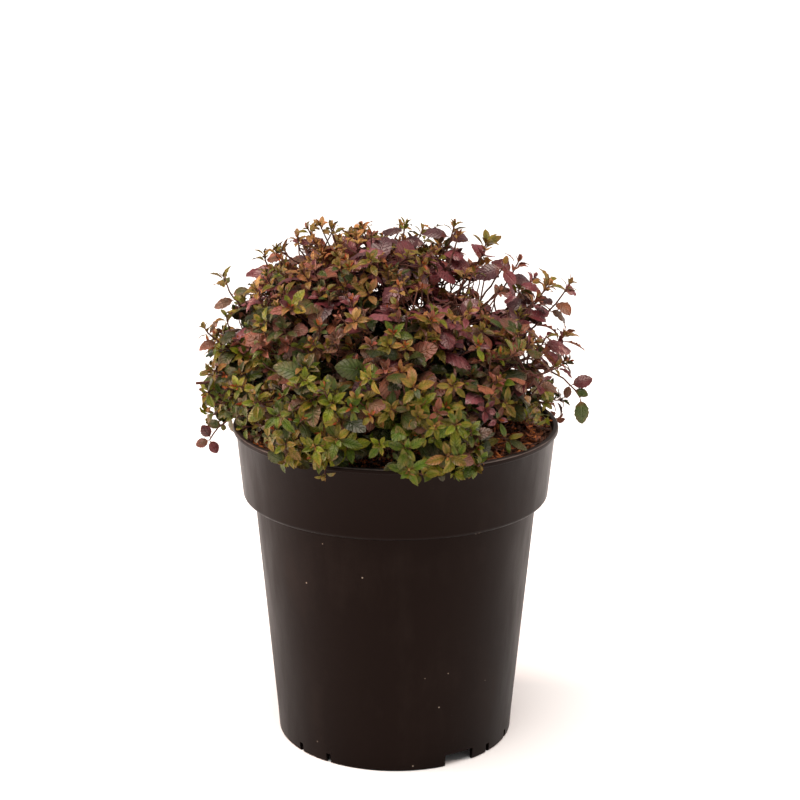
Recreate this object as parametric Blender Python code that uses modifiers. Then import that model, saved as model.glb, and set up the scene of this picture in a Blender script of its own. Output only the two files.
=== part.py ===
"""A dwarf spirea in its nursery pot: pot, growing medium, woody crown, boughs and leafy masses.

Metres, +Z up. The origin is the centre of the pot's footprint on the ground, the pot's axis is Z,
and the front of the plant looks along -Y. Azimuths are counted from the front towards +X.
"""

import math
import random

import bpy
import bmesh
from mathutils import Matrix, Vector
from mathutils.bvhtree import BVHTree
from mathutils.kdtree import KDTree

MM = 0.001

# Pot, turned about Z
RIM_RADIUS = 95.0 * MM
POT_HEIGHT = 190.0 * MM
WALL = 1.4 * MM
LIP_OVERHANG = 1.8 * MM
LIP_HEIGHT = 3.0 * MM
LIP_INNER_BEVEL = 0.5 * MM
LIP_OUTER_BEVEL = 0.7 * MM
LIP_LOWER_BEVEL = 0.6 * MM
COLLAR_BOTTOM_RADIUS = 89.7 * MM
COLLAR_BOTTOM_Z = 149.6 * MM
COLLAR_ROUNDING = 2.6 * MM
COLLAR_BEND_IN = 0.3
COLLAR_BEND_DOWN = 0.7
BODY_TOP_RADIUS = 83.0 * MM
FOOT_CHAMFER_Z = 14.4 * MM
FOOT_CHAMFER_RADIUS = 71.2 * MM
FOOT_RADIUS = 70.1 * MM
FOOT_RING_WIDTH = 2.6 * MM
FOOT_RING_DRAFT = 0.5 * MM
FLOOR_UNDERSIDE_Z = 8.5 * MM
TURN_STEPS = 40
SOIL_STEPS = 30
SHARP_EDGE = math.radians(32.0)

# Openings in the pot's foot
NOTCH_AZIMUTH = 32.5
NOTCH_WIDTH = 19.0 * MM
NOTCH_HEIGHT = 7.4 * MM
SLOT_WIDTH = 3.0 * MM
SLOT_HEIGHT = 5.6 * MM
SLOT_PAIR_AZIMUTHS = (-42.0, 60.0, 150.0, 222.0)
SLOT_PAIR_HALF_ANGLE = 9.0
CUTTER_DEPTH = 9.0 * MM
CUTTER_BELOW_GROUND = 2.0 * MM

# Growing medium
FIT_GAP = 0.3 * MM
SOIL_EDGE_Z = 176.5 * MM
SOIL_SHOULDER_Z = 178.5 * MM
SOIL_CENTRE_Z = 180.0 * MM
SOIL_FLAT_RADIUS = 16.0 * MM
SOIL_SHOULDER_RADIUS = 68.4 * MM

# Woody crown: the short stem inside the plant, with a root flare and a rounded head
CROWN_FLARE_RADIUS = 12.0 * MM
CROWN_FLARE_HEIGHT = 0.9 * MM
CROWN_ANKLE_RADIUS = 8.3 * MM
CROWN_ANKLE_Z = 2.6 * MM
CROWN_NECK_RADIUS = 7.4 * MM
CROWN_HEAD_RADIUS = 8.0 * MM
CROWN_HEAD_Z = 14.0 * MM
CROWN_HEAD_LOWEST = -50.0
CROWN_HEAD_RINGS = 5
CROWN_STEPS = 12

# Envelope of the foliage: an egg of revolution, flatter below
DOME_CENTRE_Z = 207.0 * MM
DOME_RADIUS = 118.0 * MM
DOME_RISE = 104.0 * MM
DOME_DROP = 40.0 * MM
DOME_POWER = 2.4

# Boughs and masses, laid out at the golden angle from the top of the dome to its hem
MASS_COUNT = 18
GOLDEN_ANGLE = 137.508
FIRST_AZIMUTH = -17.0
LOWEST_ELEVATION = -7.0
BOUGH_LOWEST_START = 12.0
BOUGH_SHARE = 0.40
BOUGH_FOOT_RADIUS = 1.4 * MM
BOUGH_TIP_RADIUS = 0.9 * MM
BOUGH_POINTS = 5
BOUGH_HANDLE_SHARE = 0.36
TIP_RESERVE = 10.0 * MM
TIP_UPTURN = 0.40
MASS_CENTRE_SHARE = 0.74

# Twigs: a leader, and side twigs whose tips stand in a ring round the leader's own
TWIG_FOOT_RADIUS = 0.85 * MM
TWIG_TIP_RADIUS = 0.6 * MM
TWIG_SINK_SHARE = 0.6
LEADER_SEGMENTS = 3
LEADER_LAP = 1.02
SIDE_TWIG_SLIMNESS = 0.9
SIDE_TWIGS = 5
SIDE_TWIG_STRIDE = 2
SIDE_TWIG_FIRST = 0.12
SIDE_TWIG_LAST = 0.62
TIP_RING_ANGLE = 15.0
TIP_RING_SHARES = (1.0, 0.8, 0.6, 0.45)
TIP_DEPTH_WAVER = 5.0 * MM
TWIG_SAMPLE_SHARES = (0.35, 0.55, 0.75, 1.0)

# Leaves, each a folded blade of eight faces
LEAF_LENGTH = 27.0 * MM
LEAF_WIDTH_SHARE = 0.54
LEAF_THICKNESS_SHARE = 0.035
LEAF_FOLD_SHARE = 0.09
LEAF_WIDEST = 0.50
LEAF_SIZES = (1.0, 0.82, 0.66)
LEAF_TURNS = (0.0, 24.0, -24.0, 48.0, -48.0)
LEAF_ROOT = 3.2 * MM
LEAF_DROOP = 0.08
LEAF_SAMPLE_SHARES = (0.25, 0.5, 0.75, 1.0)
TIP_WHORL = 4
TIP_WHORL_ANGLE = 58.0
TIP_WHORL_FIRST = 0.9 * MM
TIP_WHORL_STEP = 1.3 * MM
TIP_WHORL_SIZES = (0.80, 1.0)
TIP_WHORL_WAVER = 7.0
LEADER_LEAVES = 4
LEADER_LEAF_FIRST = 0.15
LEADER_LEAF_LAST = 0.85
LEADER_LEAF_AZIMUTH = 80.0
SIDE_LEAF_ANGLE = 68.0
SIDE_LEAF_PLACE = 0.72
SIDE_LEAF_AZIMUTH = 288.0
SIDE_LEAF_SIZES = (0.95, 1.1)
SIDE_LEAF_LIFT = 0.8

# Clearances kept by what grows
CELL_MARGIN = 0.5 * MM
LIMB_MARGIN = 3.0 * MM
POT_MARGIN = 1.5 * MM
SOIL_MARGIN = 2.0 * MM
LIMB_SAMPLES = 18

# Where the growing medium shows beside the foliage: nothing grows low down here
WINDOW_AZIMUTH = 68.0
WINDOW_HALF_ANGLE = 34.0
WINDOW_TOP_Z = 202.0 * MM
WINDOW_FRONT_RISE = 0.26
WINDOW_INNER_RADIUS = 50.0 * MM

SEED = 11

# A mass is purple or bronze where it stands high or to the right, and green low and to the left
HEIGHT_WARMTH = 1.6
PURPLE_OVER = 0.55
BRONZE_OVER = 0.0

COLOURS = {
    "pot_plastic": ((0.020, 0.017, 0.016), 0.42),
    "bark_mulch": ((0.085, 0.035, 0.018), 0.95),
    "crown_bark": ((0.110, 0.062, 0.040), 0.85),
    "stem_bark": ((0.095, 0.040, 0.026), 0.70),
    "leaf_green": ((0.150, 0.190, 0.050), 0.50),
    "leaf_bronze": ((0.190, 0.110, 0.060), 0.50),
    "leaf_purple": ((0.125, 0.050, 0.060), 0.50),
}


# Small helpers


def clear_scene():
    for thing in list(bpy.data.objects):
        bpy.data.objects.remove(thing)


def new_collection(name):
    made = bpy.data.collections.new(name)
    bpy.context.scene.collection.children.link(made)
    return made


def new_material(name):
    colour, roughness = COLOURS[name]
    made = bpy.data.materials.new(name)
    made.use_nodes = True
    shader = made.node_tree.nodes["Principled BSDF"]
    shader.inputs["Base Color"].default_value = (*colour, 1.0)
    shader.inputs["Roughness"].default_value = roughness
    shader.inputs["Metallic"].default_value = 0.0
    return made


def new_object(name, data, collection, material=None):
    made = bpy.data.objects.new(name, data)
    collection.objects.link(made)
    if material is not None:
        data.materials.append(material)
    return made


def bearing(azimuth, elevation):
    """The unit vector at that azimuth from the front and that elevation, both in degrees."""
    a = math.radians(azimuth)
    e = math.radians(elevation)
    return Vector((math.sin(a) * math.cos(e), -math.cos(a) * math.cos(e), math.sin(e)))


def square_to(direction, hint):
    """The part of hint that is square to direction, made a unit vector."""
    across = hint - direction * hint.dot(direction)
    if across.length < 1e-6:
        across = direction.orthogonal()
    return across.normalized()


def frame_of(along, up, place):
    """The matrix that puts X along the first vector, Z as near the second as it goes, at a place."""
    x = along.normalized()
    z = square_to(x, up)
    y = z.cross(x)
    turned = Matrix((x, y, z)).transposed()
    return Matrix.Translation(place) @ turned.to_4x4()


def turned_object(name, profile, steps, collection, material):
    """A solid of revolution: the profile's (radius, height) points run down its outer side."""
    data = bpy.data.meshes.new(name)
    points = [(radius, 0.0, height) for radius, height in profile]
    data.from_pydata(points, [(i, i + 1) for i in range(len(points) - 1)], [])
    made = new_object(name, data, collection, material)
    screw = made.modifiers.new("turn", "SCREW")
    screw.axis = "Z"
    screw.steps = steps
    screw.render_steps = steps
    screw.use_merge_vertices = True
    screw.merge_threshold = 0.00001
    return made


def evaluated_mesh(thing, name):
    """A mesh of its own of what an object's modifiers make."""
    graph = bpy.context.evaluated_depsgraph_get()
    made = bpy.data.meshes.new_from_object(thing.evaluated_get(graph))
    made.name = name
    return made


def finish_round(thing):
    """Applies the modifiers, and shades the round faces smooth between their sharp edges."""
    whole = evaluated_mesh(thing, thing.name)
    thing.modifiers.clear()
    thing.data = whole
    whole.shade_smooth()
    whole.set_sharp_from_angle(angle=SHARP_EDGE)
    return thing


# Pot


def wall_radius(height):
    """The outer radius of the pot's tapering body below the collar."""
    share = (height - FOOT_CHAMFER_Z) / (COLLAR_BOTTOM_Z - COLLAR_ROUNDING - FOOT_CHAMFER_Z)
    return FOOT_CHAMFER_RADIUS + share * (BODY_TOP_RADIUS - FOOT_CHAMFER_RADIUS)


def collar_radius(height):
    """The outer radius of the collar between its lower edge and the lip."""
    lip_z = POT_HEIGHT - LIP_HEIGHT
    share = (height - COLLAR_BOTTOM_Z) / (lip_z - COLLAR_BOTTOM_Z)
    return COLLAR_BOTTOM_RADIUS + share * (RIM_RADIUS - LIP_OVERHANG - COLLAR_BOTTOM_RADIUS)


def pot_profile():
    """From the middle of the floor's upper side, up the inside, over the lip and down the outside."""
    floor_top = FLOOR_UNDERSIDE_Z + WALL
    ledge_z = COLLAR_BOTTOM_Z - COLLAR_ROUNDING
    lip_z = POT_HEIGHT - LIP_HEIGHT
    inside = [
        (0.0, floor_top),
        (wall_radius(FOOT_CHAMFER_Z) - 2 * WALL, floor_top),
        (wall_radius(FOOT_CHAMFER_Z) - WALL, FOOT_CHAMFER_Z),
        (BODY_TOP_RADIUS - WALL, ledge_z + WALL / 2),
        (COLLAR_BOTTOM_RADIUS - WALL, COLLAR_BOTTOM_Z + WALL),
        (collar_radius(lip_z) - WALL, POT_HEIGHT - LIP_INNER_BEVEL),
    ]
    lip = [
        (collar_radius(lip_z) - WALL + LIP_INNER_BEVEL, POT_HEIGHT),
        (RIM_RADIUS - LIP_OUTER_BEVEL, POT_HEIGHT),
        (RIM_RADIUS, POT_HEIGHT - LIP_OUTER_BEVEL),
        (RIM_RADIUS, lip_z + LIP_LOWER_BEVEL),
        (collar_radius(lip_z), lip_z),
    ]
    outside = [
        (COLLAR_BOTTOM_RADIUS, COLLAR_BOTTOM_Z),
        (
            COLLAR_BOTTOM_RADIUS - COLLAR_BEND_IN * COLLAR_ROUNDING,
            COLLAR_BOTTOM_Z - COLLAR_BEND_DOWN * COLLAR_ROUNDING,
        ),
        (COLLAR_BOTTOM_RADIUS - COLLAR_ROUNDING, ledge_z),
        (BODY_TOP_RADIUS, ledge_z),
        (FOOT_CHAMFER_RADIUS, FOOT_CHAMFER_Z),
        (FOOT_RADIUS, 0.0),
        (FOOT_RADIUS - FOOT_RING_WIDTH, 0.0),
        (FOOT_RADIUS - FOOT_RING_WIDTH + FOOT_RING_DRAFT, FLOOR_UNDERSIDE_Z),
        (0.0, FLOOR_UNDERSIDE_Z),
    ]
    return inside + lip + outside


def foot_cutter(name, azimuth, width, height, cutters):
    """A box across the pot's foot ring, up to that height above the ground."""
    data = bpy.data.meshes.new(name)
    shape = bmesh.new()
    bmesh.ops.create_cube(shape, size=1.0)
    bmesh.ops.scale(shape, vec=(width, CUTTER_DEPTH, height + CUTTER_BELOW_GROUND), verts=shape.verts)
    shape.to_mesh(data)
    shape.free()
    cutter = new_object(name, data, cutters)
    middle = FOOT_RADIUS - FOOT_RING_WIDTH / 2
    cutter.location = bearing(azimuth, 0.0) * middle
    cutter.location.z = (height - CUTTER_BELOW_GROUND) / 2
    cutter.rotation_euler.z = math.radians(azimuth)
    cutter.hide_render = True
    cutter.display_type = "WIRE"


def make_pot(plant, material):
    pot = turned_object("pot", pot_profile(), TURN_STEPS, plant, material)
    cutters = new_collection("foot_cutters")
    foot_cutter("notch_cutter", NOTCH_AZIMUTH, NOTCH_WIDTH, NOTCH_HEIGHT, cutters)
    for pair, middle in enumerate(SLOT_PAIR_AZIMUTHS):
        for side in (-1, 1):
            azimuth = middle + side * SLOT_PAIR_HALF_ANGLE
            foot_cutter(f"slot_cutter_{pair}_{side}", azimuth, SLOT_WIDTH, SLOT_HEIGHT, cutters)
    cut = pot.modifiers.new("foot_openings", "BOOLEAN")
    cut.operation = "DIFFERENCE"
    cut.operand_type = "COLLECTION"
    cut.collection = cutters
    cut.solver = "EXACT"
    return finish_round(pot)


# Growing medium


def make_soil(plant, material):
    """Fills the pot to just under its rim, and is flat in the middle, where the plant stands."""
    ledge_z = COLLAR_BOTTOM_Z - COLLAR_ROUNDING
    floor_z = FLOOR_UNDERSIDE_Z + WALL + FIT_GAP
    clear = WALL + 2 * FIT_GAP
    profile = [
        (0.0, SOIL_CENTRE_Z),
        (SOIL_FLAT_RADIUS, SOIL_CENTRE_Z),
        (SOIL_SHOULDER_RADIUS, SOIL_SHOULDER_Z),
        (collar_radius(SOIL_EDGE_Z) - clear, SOIL_EDGE_Z),
        (COLLAR_BOTTOM_RADIUS - clear, COLLAR_BOTTOM_Z + 2 * WALL),
        (BODY_TOP_RADIUS - clear, ledge_z + WALL),
        (FOOT_CHAMFER_RADIUS - clear, FOOT_CHAMFER_Z),
        (FOOT_CHAMFER_RADIUS - 2 * WALL - 2 * FIT_GAP, floor_z),
        (0.0, floor_z),
    ]
    return finish_round(turned_object("growing_medium", profile, SOIL_STEPS, plant, material))


# Woody crown


def crown_head():
    return Vector((0.0, 0.0, SOIL_CENTRE_Z + FIT_GAP + CROWN_HEAD_Z))


def make_crown_stem(plant, material):
    """The short stem: a flat cut on the growing medium, a flare, a neck and a round head."""
    foot_z = SOIL_CENTRE_Z + FIT_GAP
    head = crown_head()
    profile = [(0.0, head.z + CROWN_HEAD_RADIUS)]
    for ring in range(1, CROWN_HEAD_RINGS + 1):
        angle = math.radians(90.0 + (CROWN_HEAD_LOWEST - 90.0) * ring / CROWN_HEAD_RINGS)
        profile.append((CROWN_HEAD_RADIUS * math.cos(angle), head.z + CROWN_HEAD_RADIUS * math.sin(angle)))
    profile[-1] = (min(profile[-1][0], CROWN_NECK_RADIUS), profile[-1][1])
    profile.append((CROWN_ANKLE_RADIUS, foot_z + CROWN_ANKLE_Z))
    profile.append((CROWN_FLARE_RADIUS, foot_z + CROWN_FLARE_HEIGHT))
    profile.append((CROWN_FLARE_RADIUS, foot_z))
    profile.append((0.0, foot_z))
    return finish_round(turned_object("crown_stem", profile, CROWN_STEPS, plant, material))


# Layout of the boughs and masses


def dome_reach(direction):
    """How far the foliage reaches from the dome's centre in that direction."""
    level = math.hypot(direction.x, direction.y) / DOME_RADIUS
    upright = abs(direction.z) / (DOME_RISE if direction.z > 0 else DOME_DROP)
    return (level**DOME_POWER + upright**DOME_POWER) ** (-1.0 / DOME_POWER)


def dome_centre():
    return Vector((0.0, 0.0, DOME_CENTRE_Z))


def inside_dome(point):
    away = point - dome_centre()
    return away.length < 1e-9 or away.length <= dome_reach(away.normalized())


def mass_bearing(index):
    """Azimuth and elevation of a mass, spread evenly over the dome by the golden angle."""
    lowest = math.sin(math.radians(LOWEST_ELEVATION))
    height = 1.0 - (index + 0.5) / MASS_COUNT * (1.0 - lowest)
    return FIRST_AZIMUTH + GOLDEN_ANGLE * index, math.degrees(math.asin(height))


def mass_centre(index):
    toward = bearing(*mass_bearing(index))
    return dome_centre() + toward * dome_reach(toward) * MASS_CENTRE_SHARE


def shoot_path(index, count, start, end):
    """Points along a whole shoot, from the crown's head (0) to the tip under the dome (1)."""
    azimuth, elevation = mass_bearing(index)
    toward = bearing(azimuth, elevation)
    raised = BOUGH_LOWEST_START + (90.0 - BOUGH_LOWEST_START) * (elevation - LOWEST_ELEVATION) / (
        90.0 - LOWEST_ELEVATION
    )
    leaving = bearing(azimuth, raised)
    foot = crown_head() + leaving * (CROWN_HEAD_RADIUS + FIT_GAP)
    tip = dome_centre() + toward * (dome_reach(toward) - TIP_RESERVE)
    arriving = (toward + Vector((0.0, 0.0, TIP_UPTURN))).normalized()
    handle = BOUGH_HANDLE_SHARE * (tip - foot).length
    corners = (foot, foot + leaving * handle, tip - arriving * handle, tip)
    points = []
    for step in range(count):
        t = start + (end - start) * step / (count - 1)
        s = 1.0 - t
        weights = (s**3, 3 * s * s * t, 3 * s * t * t, t**3)
        points.append(sum((c * w for c, w in zip(corners, weights)), Vector()))
    return points


def limb_points():
    """A search tree of points along every bough, for keeping twigs and leaves off them."""
    tree = KDTree(MASS_COUNT * LIMB_SAMPLES)
    for index in range(MASS_COUNT):
        for step, point in enumerate(shoot_path(index, LIMB_SAMPLES, 0.0, BOUGH_SHARE)):
            tree.insert(point, index * LIMB_SAMPLES + step)
    tree.balance()
    return tree


def make_bough(index, plant, material):
    name = f"bough_{index + 1:02d}"
    data = bpy.data.curves.new(name, "CURVE")
    data.dimensions = "3D"
    data.bevel_depth = 1.0
    data.bevel_resolution = 1
    data.use_fill_caps = True
    points = shoot_path(index, BOUGH_POINTS, 0.0, BOUGH_SHARE)
    line = data.splines.new("POLY")
    line.points.add(len(points) - 1)
    for step, point in enumerate(points):
        share = step / (len(points) - 1)
        line.points[step].co = (*(point - points[0]), 1.0)
        line.points[step].radius = BOUGH_FOOT_RADIUS + share * (BOUGH_TIP_RADIUS - BOUGH_FOOT_RADIUS)
    bough = new_object(name, data, plant, material)
    bough.location = points[0]
    return bough


# The space that a mass keeps to


class Space:
    """Where one mass may grow: its own cell of the dome, off the limbs, the pot and the soil."""

    def __init__(self, index, limbs):
        self.limbs = limbs
        self.planes = []
        own = mass_centre(index)
        for other in range(MASS_COUNT):
            if other != index:
                between = mass_centre(other) - own
                self.planes.append((between.normalized(), (own + mass_centre(other)) / 2))

    def holds(self, point):
        if not inside_dome(point):
            return False
        for normal, middle in self.planes:
            if (point - middle).dot(normal) > -CELL_MARGIN:
                return False
        return True

    def is_clear(self, point):
        """True off the boughs, the crown's head, the pot, the soil and the open window."""
        if self.limbs.find(point)[2] < LIMB_MARGIN:
            return False
        if (point - crown_head()).length < CROWN_HEAD_RADIUS + LIMB_MARGIN:
            return False
        radius = math.hypot(point.x, point.y)
        if point.z < POT_HEIGHT + POT_MARGIN:
            outside_pot = radius > RIM_RADIUS + POT_MARGIN
            over_soil = (
                radius < RIM_RADIUS - LIP_OVERHANG - 2 * WALL - POT_MARGIN
                and point.z > SOIL_CENTRE_Z + SOIL_MARGIN
            )
            if not (outside_pot or over_soil):
                return False
        azimuth = math.degrees(math.atan2(point.x, -point.y))
        in_window = abs(azimuth - WINDOW_AZIMUTH) < WINDOW_HALF_ANGLE and radius > WINDOW_INNER_RADIUS
        window_top = WINDOW_TOP_Z + WINDOW_FRONT_RISE * max(0.0, -point.y)
        return not (in_window and point.z < window_top)

    def takes(self, points):
        return all(self.holds(point) for point in points)

    def takes_clear(self, points):
        return all(self.is_clear(point) and self.holds(point) for point in points)


# Twigs and leaves


def twig_mesh(start, end, foot_radius, tip_radius):
    """A three-sided tapering stick between two points."""
    shape = bmesh.new()
    away = end - start
    bmesh.ops.create_cone(
        shape,
        cap_ends=True,
        segments=3,
        radius1=foot_radius,
        radius2=tip_radius,
        depth=away.length,
    )
    bmesh.ops.translate(shape, vec=(0.0, 0.0, away.length / 2), verts=shape.verts)
    turn = away.to_track_quat("Z", "Y").to_matrix().to_4x4()
    bmesh.ops.transform(shape, matrix=Matrix.Translation(start) @ turn, verts=shape.verts)
    return shape


def leaf_mesh(root, along, up, length):
    """A leaf of eight faces, folded upwards along its midrib: an octahedron drawn into a blade."""
    shape = bmesh.new()
    bmesh.ops.create_uvsphere(shape, u_segments=4, v_segments=2, radius=1.0)
    half_width = LEAF_WIDTH_SHARE * length / 2
    for vert in shape.verts:
        side = round(vert.co.y)
        end = round(vert.co.x)
        face = round(vert.co.z)
        if side:
            vert.co = (LEAF_WIDEST * length, side * half_width, LEAF_FOLD_SHARE * length)
        elif face:
            vert.co = (LEAF_WIDEST * length, 0.0, face * LEAF_THICKNESS_SHARE * length / 2)
        else:
            vert.co = (length if end > 0 else 0.0, 0.0, 0.0)
    bmesh.ops.transform(shape, matrix=frame_of(along, up, root), verts=shape.verts)
    return shape


def leaf_samples(root, along, up, length):
    """Points over a leaf's blade, close enough together to find a limb that it would touch."""
    grid = frame_of(along, up, root)
    half_width = LEAF_WIDTH_SHARE * length / 2
    points = []
    for share in LEAF_SAMPLE_SHARES:
        reach = 1.0 - abs(share - LEAF_WIDEST) / (1.0 - LEAF_WIDEST)
        for side in (-1.0, 0.0, 1.0):
            across = side * half_width * max(0.0, reach)
            lift = abs(side) * LEAF_FOLD_SHARE * length * max(0.0, reach)
            points.append(grid @ Vector((share * length, across, lift)))
    return points


class Mass:
    """One mass of foliage: a leader, side twigs and leaves, kept as closed meshes to be joined."""

    def __init__(self, index, limbs):
        self.index = index
        self.space = Space(index, limbs)
        self.random = random.Random(SEED * 1000 + index)
        self.shapes = []
        self.taken = []
        self.leaf_count = 0
        self.spin = self.random.uniform(0.0, 360.0)
        self.path = shoot_path(index, LEADER_SEGMENTS + 1, BOUGH_SHARE, 1.0)
        self.path[0] += (self.path[1] - self.path[0]).normalized() * FIT_GAP
        self.foot = self.path[0]
        self.grow()

    def radius_at(self, share):
        return TWIG_FOOT_RADIUS + share * (TWIG_TIP_RADIUS - TWIG_FOOT_RADIUS)

    def on_leader(self, share):
        """The point at that share of the leader, and the leader's direction there."""
        step = min(int(share * LEADER_SEGMENTS), LEADER_SEGMENTS - 1)
        first, second = self.path[step], self.path[step + 1]
        return first.lerp(second, share * LEADER_SEGMENTS - step), (second - first).normalized()

    def add_shape(self, shape):
        self.shapes.append(shape)
        self.taken.append(BVHTree.FromBMesh(shape))

    def add_twig(self, start, end, foot_radius, tip_radius):
        sunk = (end - start).normalized() * TWIG_SINK_SHARE * foot_radius
        first = start if not self.shapes else start - sunk
        self.add_shape(twig_mesh(first, end, foot_radius, tip_radius))

    def is_free(self, root, along, up, length):
        """True where the blade, past its root, runs through no twig or leaf of this mass."""
        blade = leaf_mesh(root + along * LEAF_ROOT, along, up, length - LEAF_ROOT)
        tree = BVHTree.FromBMesh(blade)
        blade.free()
        return not any(tree.overlap(other) for other in self.taken)

    def add_leaf(self, root, axis, angle, azimuth, up, length):
        """A leaf at an angle to its twig's axis, turned or shortened until its space holds it."""
        side = square_to(axis, Vector((0.0, 0.0, 1.0)))
        tilt = math.radians(angle)
        for size in LEAF_SIZES:
            for turn in LEAF_TURNS:
                spin = Matrix.Rotation(math.radians(azimuth + turn), 3, axis)
                along = axis * math.cos(tilt) + (spin @ side) * math.sin(tilt)
                along.z -= LEAF_DROOP
                along.normalize()
                fits = self.space.takes_clear(leaf_samples(root, along, up, length * size))
                if fits and self.is_free(root, along, up, length * size):
                    self.add_shape(leaf_mesh(root, along, up, length * size))
                    self.leaf_count += 1
                    return

    def add_whorl(self, tip, axis, azimuth):
        """Leaves round the tip of a twig, one above the other, their roots sunk in it."""
        for step in range(TIP_WHORL):
            size = LEAF_LENGTH * self.random.uniform(*TIP_WHORL_SIZES)
            tilt = TIP_WHORL_ANGLE + self.random.uniform(-TIP_WHORL_WAVER, TIP_WHORL_WAVER)
            root = tip - axis * (TIP_WHORL_FIRST + TIP_WHORL_STEP * step)
            self.add_leaf(root, axis, tilt, azimuth + 360.0 * step / TIP_WHORL, axis, size)

    def add_side_leaf(self, node, axis, azimuth):
        up = axis + Vector((0.0, 0.0, SIDE_LEAF_LIFT))
        size = LEAF_LENGTH * self.random.uniform(*SIDE_LEAF_SIZES)
        self.add_leaf(node, axis, SIDE_LEAF_ANGLE, azimuth, up, size)

    def side_twig_tip(self, node, azimuth, depth):
        """The tip, under the dome, of the widest side twig at that azimuth that its space holds."""
        toward = bearing(*mass_bearing(self.index))
        around = Matrix.Rotation(math.radians(azimuth), 3, toward)
        for share in TIP_RING_SHARES:
            lean = Matrix.Rotation(math.radians(TIP_RING_ANGLE * share), 3, toward.orthogonal())
            aim = around @ (lean @ toward)
            tip = dome_centre() + aim * (dome_reach(aim) - depth)
            way = [node.lerp(tip, part) for part in TWIG_SAMPLE_SHARES]
            if self.space.takes_clear(way[1:]) and self.space.takes(way[:1]):
                return tip
        return None

    def grow_twigs(self):
        """The leader and its side twigs. Returns each twig's start, tip and azimuth."""
        for step in range(LEADER_SEGMENTS):
            foot_radius = self.radius_at(step / LEADER_SEGMENTS) * LEADER_LAP
            tip_radius = self.radius_at((step + 1) / LEADER_SEGMENTS)
            self.add_twig(self.path[step], self.path[step + 1], foot_radius, tip_radius)
        twigs = []
        for number in range(SIDE_TWIGS):
            share = SIDE_TWIG_FIRST + (SIDE_TWIG_LAST - SIDE_TWIG_FIRST) * number / (SIDE_TWIGS - 1)
            node = self.on_leader(share)[0]
            azimuth = self.spin + 360.0 * number * SIDE_TWIG_STRIDE / SIDE_TWIGS
            depth = TIP_RESERVE + self.random.uniform(0.0, TIP_DEPTH_WAVER)
            tip = self.side_twig_tip(node, azimuth, depth)
            if tip is not None:
                self.add_twig(node, tip, self.radius_at(share) * SIDE_TWIG_SLIMNESS, TWIG_TIP_RADIUS)
                twigs.append((node, tip, azimuth))
        return twigs

    def grow(self):
        twigs = self.grow_twigs()
        self.add_whorl(self.path[-1], self.on_leader(1.0)[1], self.spin)
        for node, tip, azimuth in twigs:
            self.add_whorl(tip, (tip - node).normalized(), azimuth)
        for node, tip, azimuth in twigs:
            axis = (tip - node).normalized()
            self.add_side_leaf(node.lerp(tip, SIDE_LEAF_PLACE), axis, azimuth + SIDE_LEAF_AZIMUTH)
        for number in range(LEADER_LEAVES):
            share = LEADER_LEAF_FIRST + (LEADER_LEAF_LAST - LEADER_LEAF_FIRST) * number / (LEADER_LEAVES - 1)
            node, axis = self.on_leader(share)
            azimuth = self.spin + LEADER_LEAF_AZIMUTH + GOLDEN_ANGLE * number
            self.add_side_leaf(node, axis, azimuth)


def joined_mass(name, mass, plant, material):
    """One body made of a mass's twigs and leaves, with its origin at the foot of its stem."""
    pieces = new_collection(name + "_pieces")
    made = []
    for number, shape in enumerate(mass.shapes):
        bmesh.ops.translate(shape, vec=-mass.foot, verts=shape.verts)
        data = bpy.data.meshes.new(f"{name}_piece_{number}")
        shape.to_mesh(data)
        shape.free()
        made.append(new_object(data.name, data, plant if number == 0 else pieces))
    stem = made[0]
    join = stem.modifiers.new("join", "BOOLEAN")
    join.operation = "UNION"
    join.operand_type = "COLLECTION"
    join.collection = pieces
    join.solver = "EXACT"
    whole = evaluated_mesh(stem, name)
    for piece in made:
        bpy.data.objects.remove(piece)
    bpy.data.collections.remove(pieces)
    whole.materials.clear()
    body = new_object(name, whole, plant, material)
    body.location = mass.foot
    return body


def mass_material(index, materials):
    """Green low in front and to the left, bronze between, and purple at the top and right."""
    centre = mass_centre(index)
    warmth = centre.x / DOME_RADIUS + HEIGHT_WARMTH * (centre.z - DOME_CENTRE_Z) / DOME_RISE
    if warmth > PURPLE_OVER:
        return materials["leaf_purple"]
    if warmth > BRONZE_OVER:
        return materials["leaf_bronze"]
    return materials["leaf_green"]


def main():
    clear_scene()
    plant = new_collection("potted_spirea")
    materials = {name: new_material(name) for name in COLOURS}
    make_pot(plant, materials["pot_plastic"])
    make_soil(plant, materials["bark_mulch"])
    make_crown_stem(plant, materials["crown_bark"])
    limbs = limb_points()
    for index in range(MASS_COUNT):
        make_bough(index, plant, materials["stem_bark"])
        mass = Mass(index, limbs)
        material = mass_material(index, materials)
        joined_mass(f"foliage_{index + 1:02d}", mass, plant, material)


main()
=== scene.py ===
"""Looks of a dwarf spirea in its nursery pot: pot, bark mulch, stems, twigs and leaves."""

import math
import random
from math import cos, hypot, pi, radians, sin, sqrt

import bpy
import bmesh
import numpy as np
from mathutils import Matrix, Vector, noise


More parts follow.
